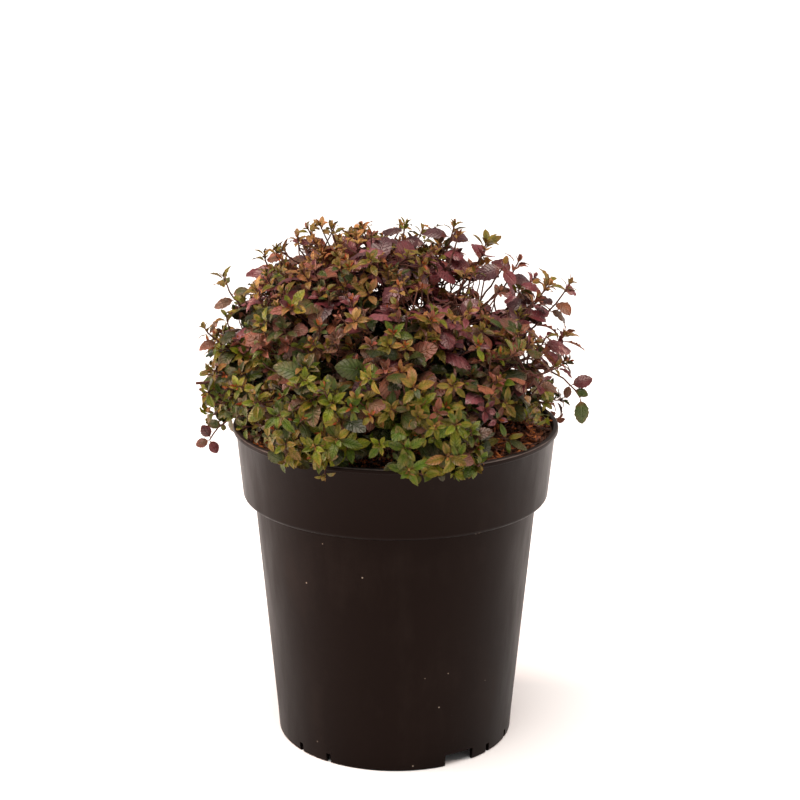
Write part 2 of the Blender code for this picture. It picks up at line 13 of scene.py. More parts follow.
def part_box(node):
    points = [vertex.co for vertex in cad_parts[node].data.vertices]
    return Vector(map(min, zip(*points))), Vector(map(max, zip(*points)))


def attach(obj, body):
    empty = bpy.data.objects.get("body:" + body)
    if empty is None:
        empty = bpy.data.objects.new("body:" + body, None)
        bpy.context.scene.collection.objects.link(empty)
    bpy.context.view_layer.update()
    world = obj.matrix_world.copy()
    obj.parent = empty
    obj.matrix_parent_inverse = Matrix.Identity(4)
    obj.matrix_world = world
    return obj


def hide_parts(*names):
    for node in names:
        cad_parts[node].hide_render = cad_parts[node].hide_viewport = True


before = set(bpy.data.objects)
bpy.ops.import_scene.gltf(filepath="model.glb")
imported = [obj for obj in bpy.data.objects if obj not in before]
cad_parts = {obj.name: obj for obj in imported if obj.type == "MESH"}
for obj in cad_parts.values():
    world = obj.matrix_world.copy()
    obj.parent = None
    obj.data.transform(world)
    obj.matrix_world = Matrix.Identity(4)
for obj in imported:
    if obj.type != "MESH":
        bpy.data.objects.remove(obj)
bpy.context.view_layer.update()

MM = 0.001
SEED = 21
GOLDEN_ANGLE = 137.508
UPWARD = Vector((0.0, 0.0, 1.0))

# Pot, from the pot in model.glb and from the same sizes as its solid
pot_low, pot_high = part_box("pot")
RIM_RADIUS = pot_high.x
POT_HEIGHT = pot_high.z
WALL = 1.4 * MM
LIP_OVERHANG = 1.8 * MM
LIP_HEIGHT = 3.0 * MM
COLLAR_BOTTOM_RADIUS = 89.7 * MM
COLLAR_BOTTOM_Z = 149.6 * MM
COLLAR_ROUNDING = 2.6 * MM
BODY_TOP_RADIUS = 83.0 * MM
FOOT_CHAMFER_Z = 14.4 * MM
FOOT_CHAMFER_RADIUS = 71.2 * MM
FOOT_RADIUS = 70.1 * MM
FOOT_RING_WIDTH = 2.6 * MM
FLOOR_UNDERSIDE_Z = 8.5 * MM
NOTCH_AZIMUTH = 32.5
NOTCH_WIDTH = 19.0 * MM
NOTCH_HEIGHT = 7.4 * MM
SLOT_WIDTH = 3.0 * MM
SLOT_HEIGHT = 5.6 * MM
SLOT_PAIR_AZIMUTHS = (-42.0, 60.0, 150.0, 222.0)
SLOT_PAIR_HALF_ANGLE = 9.0
CUTTER_DEPTH = 9.0 * MM
POT_STEPS = 200
# Height of the band of painted highlight at the top of the lip
LIP_TOP_HIGHLIGHT_HEIGHT = 0.9 * MM
LIP_EDGE_RADIUS = 1.1 * MM
LIP_INNER_ROUNDING = 0.7 * MM
LIP_LOWER_ROUNDING = 0.8 * MM
STEP_ROUNDING = 0.8 * MM
FOOT_ROUNDING = 0.7 * MM
SHARP_ANGLE = 38.0
NOTCH_DEPTH_BELOW = 2.0 * MM

# Pot's looks: the plastic, the share and colour of the dust and specks on it, and of the painted highlight
# on its lip
PLASTIC_COLOUR = (0.0026, 0.0012, 0.0009)
PLASTIC_GLOSS = 0.09
PLASTIC_TINT = (1.0, 0.68, 0.58)
DUST_COLOUR = (0.120, 0.086, 0.070)
DUST_SHARE = 0.05
SPECK_COLOUR = (0.42, 0.34, 0.27)
SPECK_SHARE = 0.6
# Painted highlight on the lip's top: its colour and share
LIP_TOP_HIGHLIGHT_COLOUR = (0.080, 0.064, 0.058)
LIP_TOP_HIGHLIGHT_SHARE = 0.55
# Painted highlight along the lip's outer edge: its colour
LIP_EDGE_HIGHLIGHT_COLOUR = (0.160, 0.135, 0.122)

# Mulch
soil_low, soil_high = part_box("growing_medium")
SOIL_TOP = soil_high.z
SOIL_EDGE_Z = 188.2 * MM
SOIL_RADIUS = RIM_RADIUS - LIP_OVERHANG - WALL - 0.5 * MM
MULCH_RELIEF = 2.2 * MM
CHIP_COUNT = 3200
CHIP_MARGIN = 2.2 * MM
FIBRE_COUNT = 1300
FIBRE_MARGIN = 9.0 * MM
FIBRE_END_MARGIN = 2.0 * MM
FIBRE_POINTS = 5
FIBRE_RADII = (0.28 * MM, 0.14 * MM)
MULCH_BED_RINGS = 60
MULCH_BED_SIDES = 120

# Bark chips: piece, share of all chips, lengths and widths in millimetres, and the slab's outline
CHIPS = (
    ("mulch_dark", 0.45, (2.5, 10.0), (0.9, 3.0)),
    ("mulch_brown", 0.35, (2.5, 12.0), (0.8, 2.8)),
    ("mulch_orange", 0.20, (2.5, 9.0), (1.0, 3.6)),
)
CHIP_THICKNESS = (0.4 * MM, 1.4 * MM)
CHIP_OUTLINE = ((-0.5, -0.35), (-0.32, -0.5), (0.30, -0.46), (0.5, -0.12), (0.38, 0.44), (-0.40, 0.5))

# Bark and wood: dark and light colour, how fine the grain is, and its gloss
BARKS = {
    "mulch_bed": ((0.016, 0.007, 0.004), (0.110, 0.038, 0.016), 260.0, 0.5),
    "mulch_dark": ((0.040, 0.015, 0.007), (0.140, 0.050, 0.020), 500.0, 0.5),
    "mulch_brown": ((0.150, 0.044, 0.014), (0.380, 0.115, 0.034), 500.0, 0.5),
    "mulch_orange": ((0.420, 0.110, 0.022), (0.780, 0.260, 0.060), 500.0, 0.5),
    "mulch_fibre": ((0.040, 0.015, 0.008), (0.200, 0.085, 0.040), 500.0, 0.5),
    "crown_bark": ((0.045, 0.026, 0.018), (0.190, 0.120, 0.085), 300.0, 0.5),
    "stem_bark": ((0.040, 0.017, 0.012), (0.150, 0.065, 0.040), 420.0, 0.5),
    "twig_bark": ((0.038, 0.015, 0.011), (0.120, 0.042, 0.028), 700.0, 0.20),
}

# Crown stem and boughs
stem_low, stem_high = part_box("crown_stem")
CROWN_HEAD_RADIUS = 8.0 * MM
CROWN_NECK_RADIUS = 7.4 * MM
CROWN_FLARE_RADIUS = stem_high.x
CROWN_HEAD = Vector((0.0, 0.0, stem_high.z - CROWN_HEAD_RADIUS))
FIT_GAP = 0.3 * MM
MASSES = sorted(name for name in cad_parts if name.startswith("foliage_"))
BOUGHS = sorted(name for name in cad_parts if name.startswith("bough_"))
MASS_COUNT = len(MASSES)
FIRST_AZIMUTH = -17.0
LOWEST_ELEVATION = -7.0
BOUGH_LOWEST_START = 12.0
BOUGH_SHARE = 0.40
BOUGH_FOOT_RADIUS = 1.4 * MM
BOUGH_TIP_RADIUS = 0.9 * MM
BOUGH_POINTS = 24
BOUGH_SIDES = 12
BOUGH_ROUGHNESS = 0.10
TIP_RESERVE = 10.0 * MM
TIP_UPTURN = 0.40
CROWN_RINGS = 40
CROWN_SIDES = 48

# Envelope of the foliage: a dome, rounder above than below
DOME_CENTRE = Vector((0.0, 0.0, 207.0 * MM))
DOME_RADIUS = 118.0 * MM
DOME_RISE = 104.0 * MM
DOME_DROP = 40.0 * MM
DOME_POWER = 2.4
# Deeper than these shares of the way out, low down and at the top, the leaves lie in shade
SHADED_SHARES = (0.87, 0.56)

# How far the crown falls short of the dome: lumps all round, a shoulder and a flank on the right
LUMP_DEPTH = 9.0 * MM
LUMP_SCALE = 3.4
SHOULDER_DEPTH = 26.0 * MM
FLANK_DEPTH = 20.0 * MM

# Twigs
TWIG_FOOT_RADIUS = 0.85 * MM
TWIG_TIP_RADIUS = 0.45 * MM
SIDE_TWIG_RADIUS = 0.68 * MM
SPRAY_RADIUS = 0.50 * MM
TWIG_WAVER = 0.8 * MM
LEADER_POINTS = 10
SIDE_TWIG_POINTS = 8
SPRAY_POINTS = 5
TWIG_SIDES = 6
SIDE_TWIGS = 20
SIDE_TWIG_FIRST = 0.04
SIDE_TWIG_LAST = 0.80
TIP_SPREAD_ANGLE = 24.0
TIP_DEPTH = 5.0 * MM
TIP_DEPTH_WAVER = 26.0 * MM
TIP_REACHES = (1.0, 0.75, 0.5, 0.3)
SPRAY_PLACES = (0.34, 0.55, 0.76)
SPRAY_LENGTH = 22.0 * MM

# Shares of the twigs and sprays that are grown: on the airy right shoulder, on the right flank,
# near the top, and half way up
OPEN_RIGHT_TWIGS = 0.75
OPEN_RIGHT_SPRAYS = 0.62
OPEN_FLANK_SPRAYS = 0.40
HIGH_SPRAYS = 0.75
MIDDLE_SPRAYS = 0.75

# Leaves: lengths and spacings are those at the hem and at the top of the crown, widths are shares
# of the length, and tilts are degrees away from the twig
ROSETTE_LEAVES = 6
ROSETTE_LENGTHS = (11.5 * MM, 7.6 * MM)
ROSETTE_TILT = 80.0
ROSETTE_TILT_LESS_HIGH = 10.0
ROSETTE_TILT_LESS_INSIDE = 40.0
ROSETTE_TILT_WAVER = 12.0
ROSETTE_WIDTH = 0.49
BUD_LEAVES = 3
BUD_LENGTH = 3.8 * MM
BUD_WIDTH = 0.34
STEM_LEAF_LENGTHS = (13.0 * MM, 16.8 * MM)
STEM_LEAF_SPACINGS = (6.4 * MM, 9.5 * MM)
STEM_LEAF_TILTS = (52.0, 82.0)
STEM_LEAF_WIDTH = 0.70
STEM_LEAF_FOLDS = (-0.32, -0.14, 0.22)
PETIOLE_SHARE = 0.16
PETIOLE_WIDTH = 0.045
SMALLER_LEAVES = (1.0, 0.8, 0.62)
SMALLER_SPRAYS = (1.0, 0.7, 0.45)

# Placed where the photographed plant shows something by itself, all in millimetres.
# Sprigs: the leaves' width as a share of their length, the stem's places, and each leaf's place
# along it, its direction as seen from the front, its length and its colour
SPRIGS = (
    (
        0.85,
        ((-84, -20, 203), (-100, -20, 196), (-107, -22, 184.5)),
        (
            (0.95, (-0.50, 0.90), 8, "wine"),
            (1, (-0.90, -0.25), 7.2, "umber"),
            (1, (0.50, -0.80), 7.6, "wine"),
            (0.62, (-0.45, 0.05), 7, "sage"),
            (0.58, (-0.10, -1), 4, "olive"),
        ),
    ),
    (
        0.60,
        ((-86, -28, 212), (-97, -30, 210), (-105, -32, 207)),
        ((1, (-0.3, 1), 3.6, "lime"), (0.96, (0.6, 0.8), 2.6, "olive"), (0.98, (-0.7, -0.7), 3.6, "bronze")),
    ),
    (
        0.72,
        ((78, -5, 224), (96, -5, 224), (107, -5, 206)),
        (
            (0.74, (0.95, 0.35), 11.5, "wine"),
            (0.84, (0.95, -0.35), 7.5, "sage"),
            (0.72, (-0.30, -1), 7, "umber"),
            (1, (0.15, -0.98), 13.5, "sage"),
            (0.94, (0.95, 0.10), 4.5, "deep"),
        ),
    ),
    (
        0.72,
        ((44, -10, 258), (52, -14, 272), (61, -16, 286)),
        ((0.97, (-0.95, -0.28), 14, "plum"), (0.93, (0.7, -0.7), 10, "wine"), (1, (0.2, 1), 5, "olive")),
    ),
    (
        0.75,
        ((30, -56, 214), (36, -70, 220), (39, -80, 216)),
        (
            (0.98, (0.25, -0.97), 21, "deep"),
            (0.60, (0.95, -0.10), 14, "plum"),
            (0.80, (-0.60, -0.75), 17, "deep"),
            (0.50, (0.80, -0.60), 15, "deep"),
        ),
    ),
    (
        0.38,
        ((38, -52, 203), (52, -60, 200), (61, -66, 199)),
        (
            (1, (0.95, -0.45), 11.5, "sage"),
            (1, (0.25, -0.9), 8, "fresh"),
            (1, (-0.35, 1), 8.5, "fresh"),
            (1, (0.8, 0.3), 8.5, "olive"),
            (0.90, (-0.9, -0.25), 12, "olive"),
            (0.75, (-0.9, -0.5), 13, "sage"),
            (0.60, (-0.9, 0.3), 11, "umber"),
        ),
    ),
    (
        0.75,
        ((36, -60, 196), (44, -70, 195), (48, -80, 192.5)),
        ((1, (0.1, 0.9), 9, "deep"), (0.90, (0.9, 0.2), 5.5, "sage")),
    ),
    (
        0.86,
        ((-14, -84, 226), (-12, -94, 236), (-6, -101, 245)),
        ((1, (0.35, -1), 14, "russet"), (0.7, (-0.9, -0.3), 13, "plum")),
    ),
)

# Whorls of young leaves that show face on: place, leaf length and colour
STARS = (
    ((10, -111, 240), 10.5, "olive"),
    ((-34, -106, 230), 9.3, "lime"),
    ((-63, -94, 220), 9.3, "fresh"),
    ((-76, -83, 224), 7, "lime"),
    ((-13, -111, 225), 7, "olive"),
    ((-2, -110, 228), 7.7, "olive"),
    ((12, -110, 224), 7, "olive"),
    ((22, -109, 226), 7, "russet"),
    ((21, -112, 219), 7, "lime"),
    ((6, -115, 208), 10.1, "fresh"),
    ((7, -115, 195.5), 9.3, "fresh"),
    ((28, -112, 203), 10.8, "olive"),
    ((-31, -109, 211), 10.8, "fresh"),
    ((-43, -106, 206), 10.1, "lime"),
    ((-59, -98, 205), 9.3, "olive"),
    ((-61, -90, 229), 6.2, "fresh"),
    ((-8, -115, 210), 6.6, "lime"),
    ((-23, -108, 228), 8.5, "fresh"),
    ((31, -98, 238), 7, "olive"),
    ((60, -74, 222), 8.6, "olive"),
    ((56, -76, 213), 7.4, "mauve"),
    ((49, -80, 220), 7.4, "wine"),
    ((86, -18, 207), 7.6, "lime"),
    ((-57, -67, 273), 10.1, "lime"),
    ((-22, -86, 270), 8.5, "bronze"),
    ((-49, -48, 285), 6.6, "bronze"),
    ((-31, -58, 294), 7, "olive"),
    ((-14, -60, 298), 7, "olive"),
    ((-64, -29, 292), 4.2, "ember"),
    ((-1, -90, 264), 8.5, "fresh"),
    ((-4, -96, 259), 7.7, "olive"),
    ((19, -84, 270), 7.7, "russet"),
    ((44, -82, 256), 6.6, "lime"),
    ((-86, -44, 199), 6.2, "fresh"),
    ((-77, -56, 197.5), 6.2, "sage"),
    ((-104, -30, 228), 7.6, "olive"),
    ((-99, -42, 217), 7.2, "fresh"),
    ((-90, -54, 208), 7.4, "sage"),
    ((-93, -46, 222), 6.8, "olive"),
    ((-96, -36, 206), 6.6, "fresh"),
    ((-87, -58, 226), 7.4, "lime"),
    ((-84, -58, 216), 7, "sage"),
    ((-100, -22, 238), 7, "lime"),
    ((-50, -8, 305), 7.2, "olive"),
    ((-43, -8, 307), 7, "bronze"),
    ((-37, -8, 305), 6.6, "olive"),
)
STAR_TWIG_LENGTH = 24.0 * MM
STAR_ROOM = 0.80

# Gaps that the sky shows through: right of and above the pot's middle, and their radius
SKY_GAPS = (
    (51, 269, 4.6),
    (57, 260, 4),
    (26, 273, 2.9),
    (33, 270, 2),
    (36, 258, 1.9),
    (7, 260, 2.2),
    (13, 263, 2),
    (-9, 270, 2.4),
    (-39, 299, 2.7),
    (-58, 289, 3.4),
    (-92, 248, 2.2),
    (75, 228, 2.5),
    (87, 220, 2.2),
    (83, 246, 2.4),
    (77, 211, 2.2),
    (66, 222, 1.8),
    (39, 271, 2.4),
    (45, 249, 1.8),
)
SKY_MARGIN = 1.6 * MM

# Bare ends of cut stems on the left: their two ends
STUB_RADIUS = 0.9 * MM
STUB_POINTS = 5
STUBS = (
    ((-102, -37, 223), (-112, -40, 223)),
    ((-98, -38, 212), (-110, -41, 220)),
    ((-95, -34, 212), (-106, -36, 219)),
    ((-96, -31, 222), (-101, -35, 226)),
)

# Shoots that stand clear at the shoulders: foot, tip, and their tuft's colour
SHOOTS = (
    ((0, -8, 284), (5, 0, 306), "lime"),
    ((-84, 0, 250), (-99, 0, 275), "olive"),
    ((-66, 10, 262), (-76, 6, 288), "olive"),
    ((-60, -6, 268), (-68, -10, 294), "olive"),
    ((-48, -4, 276), (-56, -8, 300), "bronze"),
    ((-92, -20, 236), (-108, -22, 250), "olive"),
    ((20, 30, 262), (34, 34, 300), "olive"),
    ((34, 24, 256), (52, 20, 292), "olive"),
    ((46, 20, 246), (71, 20, 281), "russet"),
    ((50, -20, 232), (80, -10, 266), "russet"),
    ((62, 12, 236), (88, 10, 271), "olive"),
    ((70, 6, 236), (101, 10, 271), "olive"),
    ((66, -6, 226), (97, -4, 243), "russet"),
    ((60, -30, 226), (84, -36, 250), "wine"),
    ((56, 44, 236), (82, 46, 266), "wine"),
    ((70, 0, 222), (97, -2, 227), "russet"),
)
SHOOT_LEEWAY = 1.12
SHOOT_LEAF_LENGTH = 13.5 * MM
SHOOT_LEAF_SPACING = 4.2 * MM
SHOOT_TUFT_SIZE = 1.25
SHOOT_LEAN = 1.7

# Where the mulch shows beside the foliage: nothing grows low down here
WINDOW_AZIMUTH = 64.0
WINDOW_HALF_ANGLE = 38.0
WINDOW_TOP_Z = 200.0 * MM
WINDOW_FRONT_RISE = 0.12
WINDOW_INNER_RADIUS = 50.0 * MM
POT_MARGIN = 0.8 * MM
SOIL_MARGIN = 5.0 * MM

# Camera, as the photograph's
CAMERA_PLACE = Vector((2.4 * MM, -1052.5 * MM, 491.9 * MM))
CAMERA_PITCH = 15.36
CAMERA_ROLL = 0.24
CAMERA_LENS = 84.14
SENSOR_WIDTH = 36.0

# Leaf colours: the blade's, its blush towards the tip and margin, its gloss, and the slot
LEAF_COLOURS = {
    "lime": ((0.180, 0.220, 0.011), (0.250, 0.142, 0.019), 0.30, "leaf_green"),
    "fresh": ((0.088, 0.150, 0.009), (0.150, 0.110, 0.017), 0.33, "leaf_green"),
    "sage": ((0.066, 0.096, 0.018), (0.115, 0.060, 0.026), 0.35, "leaf_green"),
    "deep": ((0.020, 0.036, 0.005), (0.040, 0.031, 0.007), 0.45, "leaf_green"),
    "olive": ((0.200, 0.170, 0.019), (0.270, 0.108, 0.029), 0.30, "leaf_bronze"),
    "bronze": ((0.410, 0.235, 0.062), (0.400, 0.125, 0.053), 0.30, "leaf_bronze"),
    "ember": ((0.460, 0.120, 0.025), (0.380, 0.057, 0.022), 0.30, "leaf_bronze"),
    "russet": ((0.285, 0.103, 0.050), (0.260, 0.056, 0.040), 0.35, "leaf_bronze"),
    "umber": ((0.140, 0.071, 0.034), (0.160, 0.045, 0.033), 0.45, "leaf_bronze"),
    "wine": ((0.205, 0.040, 0.045), (0.152, 0.022, 0.030), 0.70, "leaf_purple"),
    "plum": ((0.080, 0.020, 0.025), (0.060, 0.011, 0.017), 0.75, "leaf_purple"),
    "mauve": ((0.230, 0.063, 0.072), (0.180, 0.034, 0.044), 0.95, "leaf_purple"),
}
LEAF_FOOT_COLOUR = (0.250, 0.060, 0.022)
LEAF_TINT = (1.0, 0.86, 0.78)
LEAF_BLOTCH_SCALE = 230.0
VEIN_WAVES = 44.0
VEIN_SLANT = 0.22
VEIN_SHARE = 0.40
# Painted shade in the leaves' quilted hollows, with some leaves darker at random: the share of the colour
# left there
HOLLOW_SHADE_AND_TONE_DARKNESS = 0.40

# How warm a colour is: its shares from height, from the right and, low down, away from the front
WARMTH_LOW_DOWN = 0.20
WARMTH_BY_HEIGHT = 0.72
WARMTH_BY_RIGHT = 0.24
COOLNESS_BY_FRONT = 0.33
WARMTH_WAVER = 0.11

# The colours that leaves are dealt, up to each warmth: in the sun, then in the crown's shade
ALWAYS = math.inf
YOUNG_COLOURS = (
    (
        (0.26, "lime fresh lime fresh olive sage fresh".split()),
        (0.50, "fresh olive sage lime umber olive russet".split()),
        (0.72, "olive russet olive umber sage bronze olive wine".split()),
        (ALWAYS, "bronze olive bronze olive russet bronze olive".split()),
    ),
    (
        (0.55, "deep sage deep fresh".split()),
        (ALWAYS, "umber plum wine russet".split()),
    ),
)
OLD_COLOURS = (
    (
        (0.25, "deep sage deep fresh sage umber".split()),
        (0.42, "deep sage umber sage fresh umber deep".split()),
        (0.58, "umber sage russet deep wine umber mauve".split()),
        (0.72, "mauve wine umber russet plum wine umber".split()),
        (ALWAYS, "mauve wine plum wine plum mauve wine".split()),
    ),
    (
        (0.55, "deep deep deep deep umber".split()),
        (ALWAYS, "plum umber wine plum".split()),
    ),
)

# Light: colours, strengths and angles in degrees, and each side panel's place, size and power
WORLD_STRENGTH = 0.34
SKY_COLOUR = (1.0, 0.97, 0.92)
SKY_STRENGTH = 3.55
SKY_SPREAD = 58.0
SKY_TILTS = (15.0, -6.0)
PANEL_COLOUR = (1.0, 0.70, 0.60)
PANEL_TARGET = UPWARD * 0.2
PANELS = (
    ("left_panel", (-1.5, 0.1, 0.7), (0.7, 1.4), 35.0),
    ("right_panel", (1.5, 0.2, 0.7), (0.5, 1.4), 16.0),
)
FLOOR_HALF_SIDE = 8.0
FLOOR_GREY = 0.96
FLOOR_ROUGHNESS = 0.9


# Small helpers


def bearing(azimuth, elevation):
    """The unit vector at that azimuth from the front and that elevation, both in degrees."""
    a = radians(azimuth)
    e = radians(elevation)
    return Vector((sin(a) * cos(e), -cos(a) * cos(e), sin(e)))


def square_to(direction, hint):
    """The part of hint that is square to direction, made a unit vector."""
    across = hint - direction * hint.dot(direction)
    if across.length < 1e-6:
        across = direction.orthogonal()
    return across.normalized()


def tilted(axis, side, turn, tilt):
    """The direction tilt degrees away from axis, turned round it from side by turn degrees."""
    around = Matrix.Rotation(radians(turn), 3, axis)
    tilt = radians(tilt)
    return axis * cos(tilt) + (around @ side) * sin(tilt)


def between(ends, share):
    """The value at that share of the way from the first end to the second."""
    return ends[0] + (ends[1] - ends[0]) * share


def link(thing):
    bpy.context.scene.collection.objects.link(thing)
    return thing


def piece_from(name, data, material, nodes):
    """A piece of the plant or pot that rides on the root and stands for those nodes."""
    made = link(bpy.data.objects.new(name, data))
    data.materials.clear()
    data.materials.append(material)
    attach(made, "root")
    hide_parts(*nodes)


def mesh_of(name, points, faces, edges=(), smooth=True):
    data = bpy.data.meshes.new(name)
    data.from_pydata(points, edges, faces)
    if smooth:
        data.shade_smooth()
    return data


# Materials


class Look:
    """A material, with short calls for the nodes that it is made of."""

    def __init__(self, name):
        self.material = bpy.data.materials.new(name)
        self.material.use_nodes = True
        self.nodes = self.material.node_tree.nodes
        self.links = self.material.node_tree.links
        self.surface = self.nodes["Principled BSDF"]

    def feed(self, socket, value):
        """Gives a socket another node's output, a colour or a number."""
        if isinstance(value, bpy.types.NodeSocket):
            self.links.new(value, socket)
        elif isinstance(value, tuple):
            socket.default_value = (*value, 1.0)
        else:
            socket.default_value = value

    def node(self, kind, **inputs):
        made = self.nodes.new("ShaderNode" + kind)
        for name, value in inputs.items():
            self.feed(made.inputs[name], value)
        return made

    def place(self):
        return self.node("TexCoord").outputs["Object"]

    def noise(self, place, scale, detail=4.0, roughness=0.55):
        made = self.node("TexNoise", Vector=place, Scale=scale, Detail=detail, Roughness=roughness)
        return made.outputs["Fac"]

    def ramp(self, value, *stops):
        """From one colour or grey to another, between their two places."""
        made = self.node("ValToRGB", Fac=value)
        for element, (place, colour) in zip(made.color_ramp.elements, stops):
            element.position = place
            element.color = (*colour, 1.0) if isinstance(colour, tuple) else (colour, colour, colour, 1.0)
        return made.outputs["Color"]

    def mix(self, factor, first, second):
        made = self.node("Mix")
        made.data_type = "RGBA"
        for index, value in ((0, factor), (6, first), (7, second)):
            self.feed(made.inputs[index], value)
        return made.outputs[2]

    def maths(self, operation, first, second=0.0):
        made = self.node("Math")
        made.operation = operation
        self.feed(made.inputs[0], first)
        self.feed(made.inputs[1], second)
        return made.outputs[0]

    def plus(self, first, second):
        return self.maths("ADD", first, second)

    def minus(self, first, second):
        return self.maths("SUBTRACT", first, second)

    def times(self, first, second):
        return self.maths("MULTIPLY", first, second)

    def finish(self, height, strength, distance, **surface):
        """Sets the surface's colour, roughness and gloss, and its bumps of that height."""
        for name, value in surface.items():
            self.feed(self.surface.inputs[name.replace("_", " ")], value)
        relief = self.node("Bump", Strength=strength, Distance=distance, Height=height)
        self.links.new(relief.outputs["Normal"], self.surface.inputs["Normal"])
        return self.material


def leaf_material(name, colour, blush, gloss):
    """A leaf's colour, its blush towards tip and margin, its veins, a satin, quilted surface, and painted
    shade in the quilt's hollows, with some leaves darker at random.
    """
    look = Look("leaf_" + name)
    blade = look.node("Attribute")
    blade.attribute_name = "blade"
    along, across, own = look.node("SeparateXYZ", Vector=blade.outputs["Vector"]).outputs
    blotch = look.noise(look.place(), LEAF_BLOTCH_SCALE, 3.0)

    outward = look.plus(look.times(along, 0.55), look.times(across, 0.45))
    uneven = look.plus(look.plus(outward, look.times(blotch, 0.7)), look.times(own, 0.7))
    blushing = look.ramp(look.times(uneven, 0.5), (0.45, 0.0), (0.85, 1.0))
    body = look.mix(blushing, colour, blush)

    ribs = look.plus(along, look.times(across, -VEIN_SLANT))
    veins = look.ramp(look.maths("SINE", look.times(ribs, VEIN_WAVES)), (0.78, 0.0), (1.0, 1.0))
    midrib = look.ramp(across, (0.04, 1.0), (0.12, 0.0))
    lines = look.maths("MAXIMUM", veins, midrib)
    pale = tuple(min(1.0, 1.5 * c + 0.025) for c in colour)
    veined = look.mix(look.times(lines, VEIN_SHARE), body, pale)
    veined = look.mix(look.ramp(along, (0.02, 0.65), (0.26, 0.0)), veined, LEAF_FOOT_COLOUR)

    # Painted shade: darker where the quilted bump is low, and on some leaves at random
    turn = look.maths("FRACT", look.times(own, 7.31))
    clouded = look.plus(blotch, look.times(turn, 0.45))
    shade = look.ramp(clouded, (0.42, 0.90), (0.88, 0.0))
    dark = tuple(HOLLOW_SHADE_AND_TONE_DARKNESS * c for c in colour)
    return look.finish(
        look.minus(blotch, lines),
        0.95,
        0.0008,
        Base_Color=look.mix(shade, veined, dark),
        Roughness=look.ramp(blotch, (0.3, 0.24), (0.7, 0.44)),
        Specular_IOR_Level=gloss,
        Specular_Tint=LEAF_TINT,
    )


def bark_material(name):
    dark, light, scale, gloss = BARKS[name]
    look = Look(name)
    grain = look.noise(look.place(), scale, 5.0, 0.62)
    return look.finish(
        grain,
        0.5,
        0.0004,
        Base_Color=look.ramp(grain, (0.32, dark), (0.68, light)),
        Roughness=look.ramp(grain, (0.3, 0.55), (0.7, 0.85)),
        Specular_IOR_Level=gloss,
    )


def painted_lip_edge_highlight(look, x, y, z, streak):
    """The share of painted highlight: a pale line along the lip's outer edge only."""
    radius = look.maths("SQRT", look.plus(look.times(x, x), look.times(y, y)))
    outward = look.maths("MAXIMUM", look.minus(radius, RIM_RADIUS - LIP_EDGE_RADIUS), 0.0)
    upward = look.minus(z, POT_HEIGHT - LIP_EDGE_RADIUS)
    corner = look.maths("DIVIDE", look.times(outward, upward), LIP_EDGE_RADIUS**2)
    line = look.ramp(corner, (0.36, 0.0), (0.52, 1.0))
    return look.times(line, look.ramp(streak, (0.35, 0.45), (0.60, 1.0)))


def pot_material():
    """Black recycled plastic: satin, with dust, specks and streaks, and a painted highlight on the lip's top
    and along its outer edge.
    """
    look = Look("pot_plastic")
    place = look.place()
    stretch = look.node("Mapping", Vector=place)
    stretch.inputs["Scale"].default_value = (1.0, 1.0, 0.22)
    streak = look.noise(stretch.outputs["Vector"], 60.0, 6.0, 0.65)
    cloud = look.noise(place, 16.0, 4.0, 0.6)
    grain = look.noise(place, 900.0, 2.0, 0.5)
    dust = look.ramp(look.times(streak, cloud), (0.26, 0.0), (0.48, DUST_SHARE))
    colour = look.mix(dust, PLASTIC_COLOUR, DUST_COLOUR)

    specks = look.node("TexVoronoi", Vector=place, Scale=95.0, Randomness=1.0)
    speck = look.ramp(specks.outputs["Distance"], (0.035, 1.0), (0.055, 0.0))
    spotted = look.times(speck, look.ramp(cloud, (0.50, 0.0), (0.56, 1.0)))
    colour = look.mix(look.times(spotted, SPECK_SHARE), colour, SPECK_COLOUR)

    x, y, z = look.node("SeparateXYZ", Vector=place).outputs
    # Painted highlight: the lip's top made lighter towards its upper edge, broken by the streaks
    share = look.maths("DIVIDE", look.minus(z, POT_HEIGHT - LIP_TOP_HIGHLIGHT_HEIGHT), LIP_TOP_HIGHLIGHT_HEIGHT)
    lip_top_highlight = look.times(share, look.plus(streak, 0.2))
    colour = look.mix(look.ramp(lip_top_highlight, (0.10, 0.0), (0.70, LIP_TOP_HIGHLIGHT_SHARE)), colour, LIP_TOP_HIGHLIGHT_COLOUR)
    # Painted highlight: a pale line along the lip's outer edge
    colour = look.mix(painted_lip_edge_highlight(look, x, y, z, streak), colour, LIP_EDGE_HIGHLIGHT_COLOUR)
    return look.finish(
        look.plus(grain, look.times(spotted, 3.0)),
        0.12,
        0.0002,
        Base_Color=colour,
        Roughness=look.ramp(streak, (0.3, 0.33), (0.7, 0.52)),
        Specular_IOR_Level=PLASTIC_GLOSS,
        Specular_Tint=PLASTIC_TINT,
    )


# Layout of the boughs, the same as the solids'


def dome_reach(direction):
    """How far the foliage reaches from the dome's centre in that direction."""
    level = hypot(direction.x, direction.y) / DOME_RADIUS
    upright = abs(direction.z) / (DOME_RISE if direction.z > 0 else DOME_DROP)
    return (level**DOME_POWER + upright**DOME_POWER) ** (-1.0 / DOME_POWER)


def inside_dome(point, leeway=1.0):
    """True up to that share of the way from the dome's centre to its surface."""
    away = point - DOME_CENTRE
    return away.length < 1e-9 or away.length / dome_reach(away.normalized()) <= leeway


def mass_bearing(index):
    lowest = sin(radians(LOWEST_ELEVATION))
    height = 1.0 - (index + 0.5) / MASS_COUNT * (1.0 - lowest)
    return FIRST_AZIMUTH + GOLDEN_ANGLE * index, math.degrees(math.asin(height))


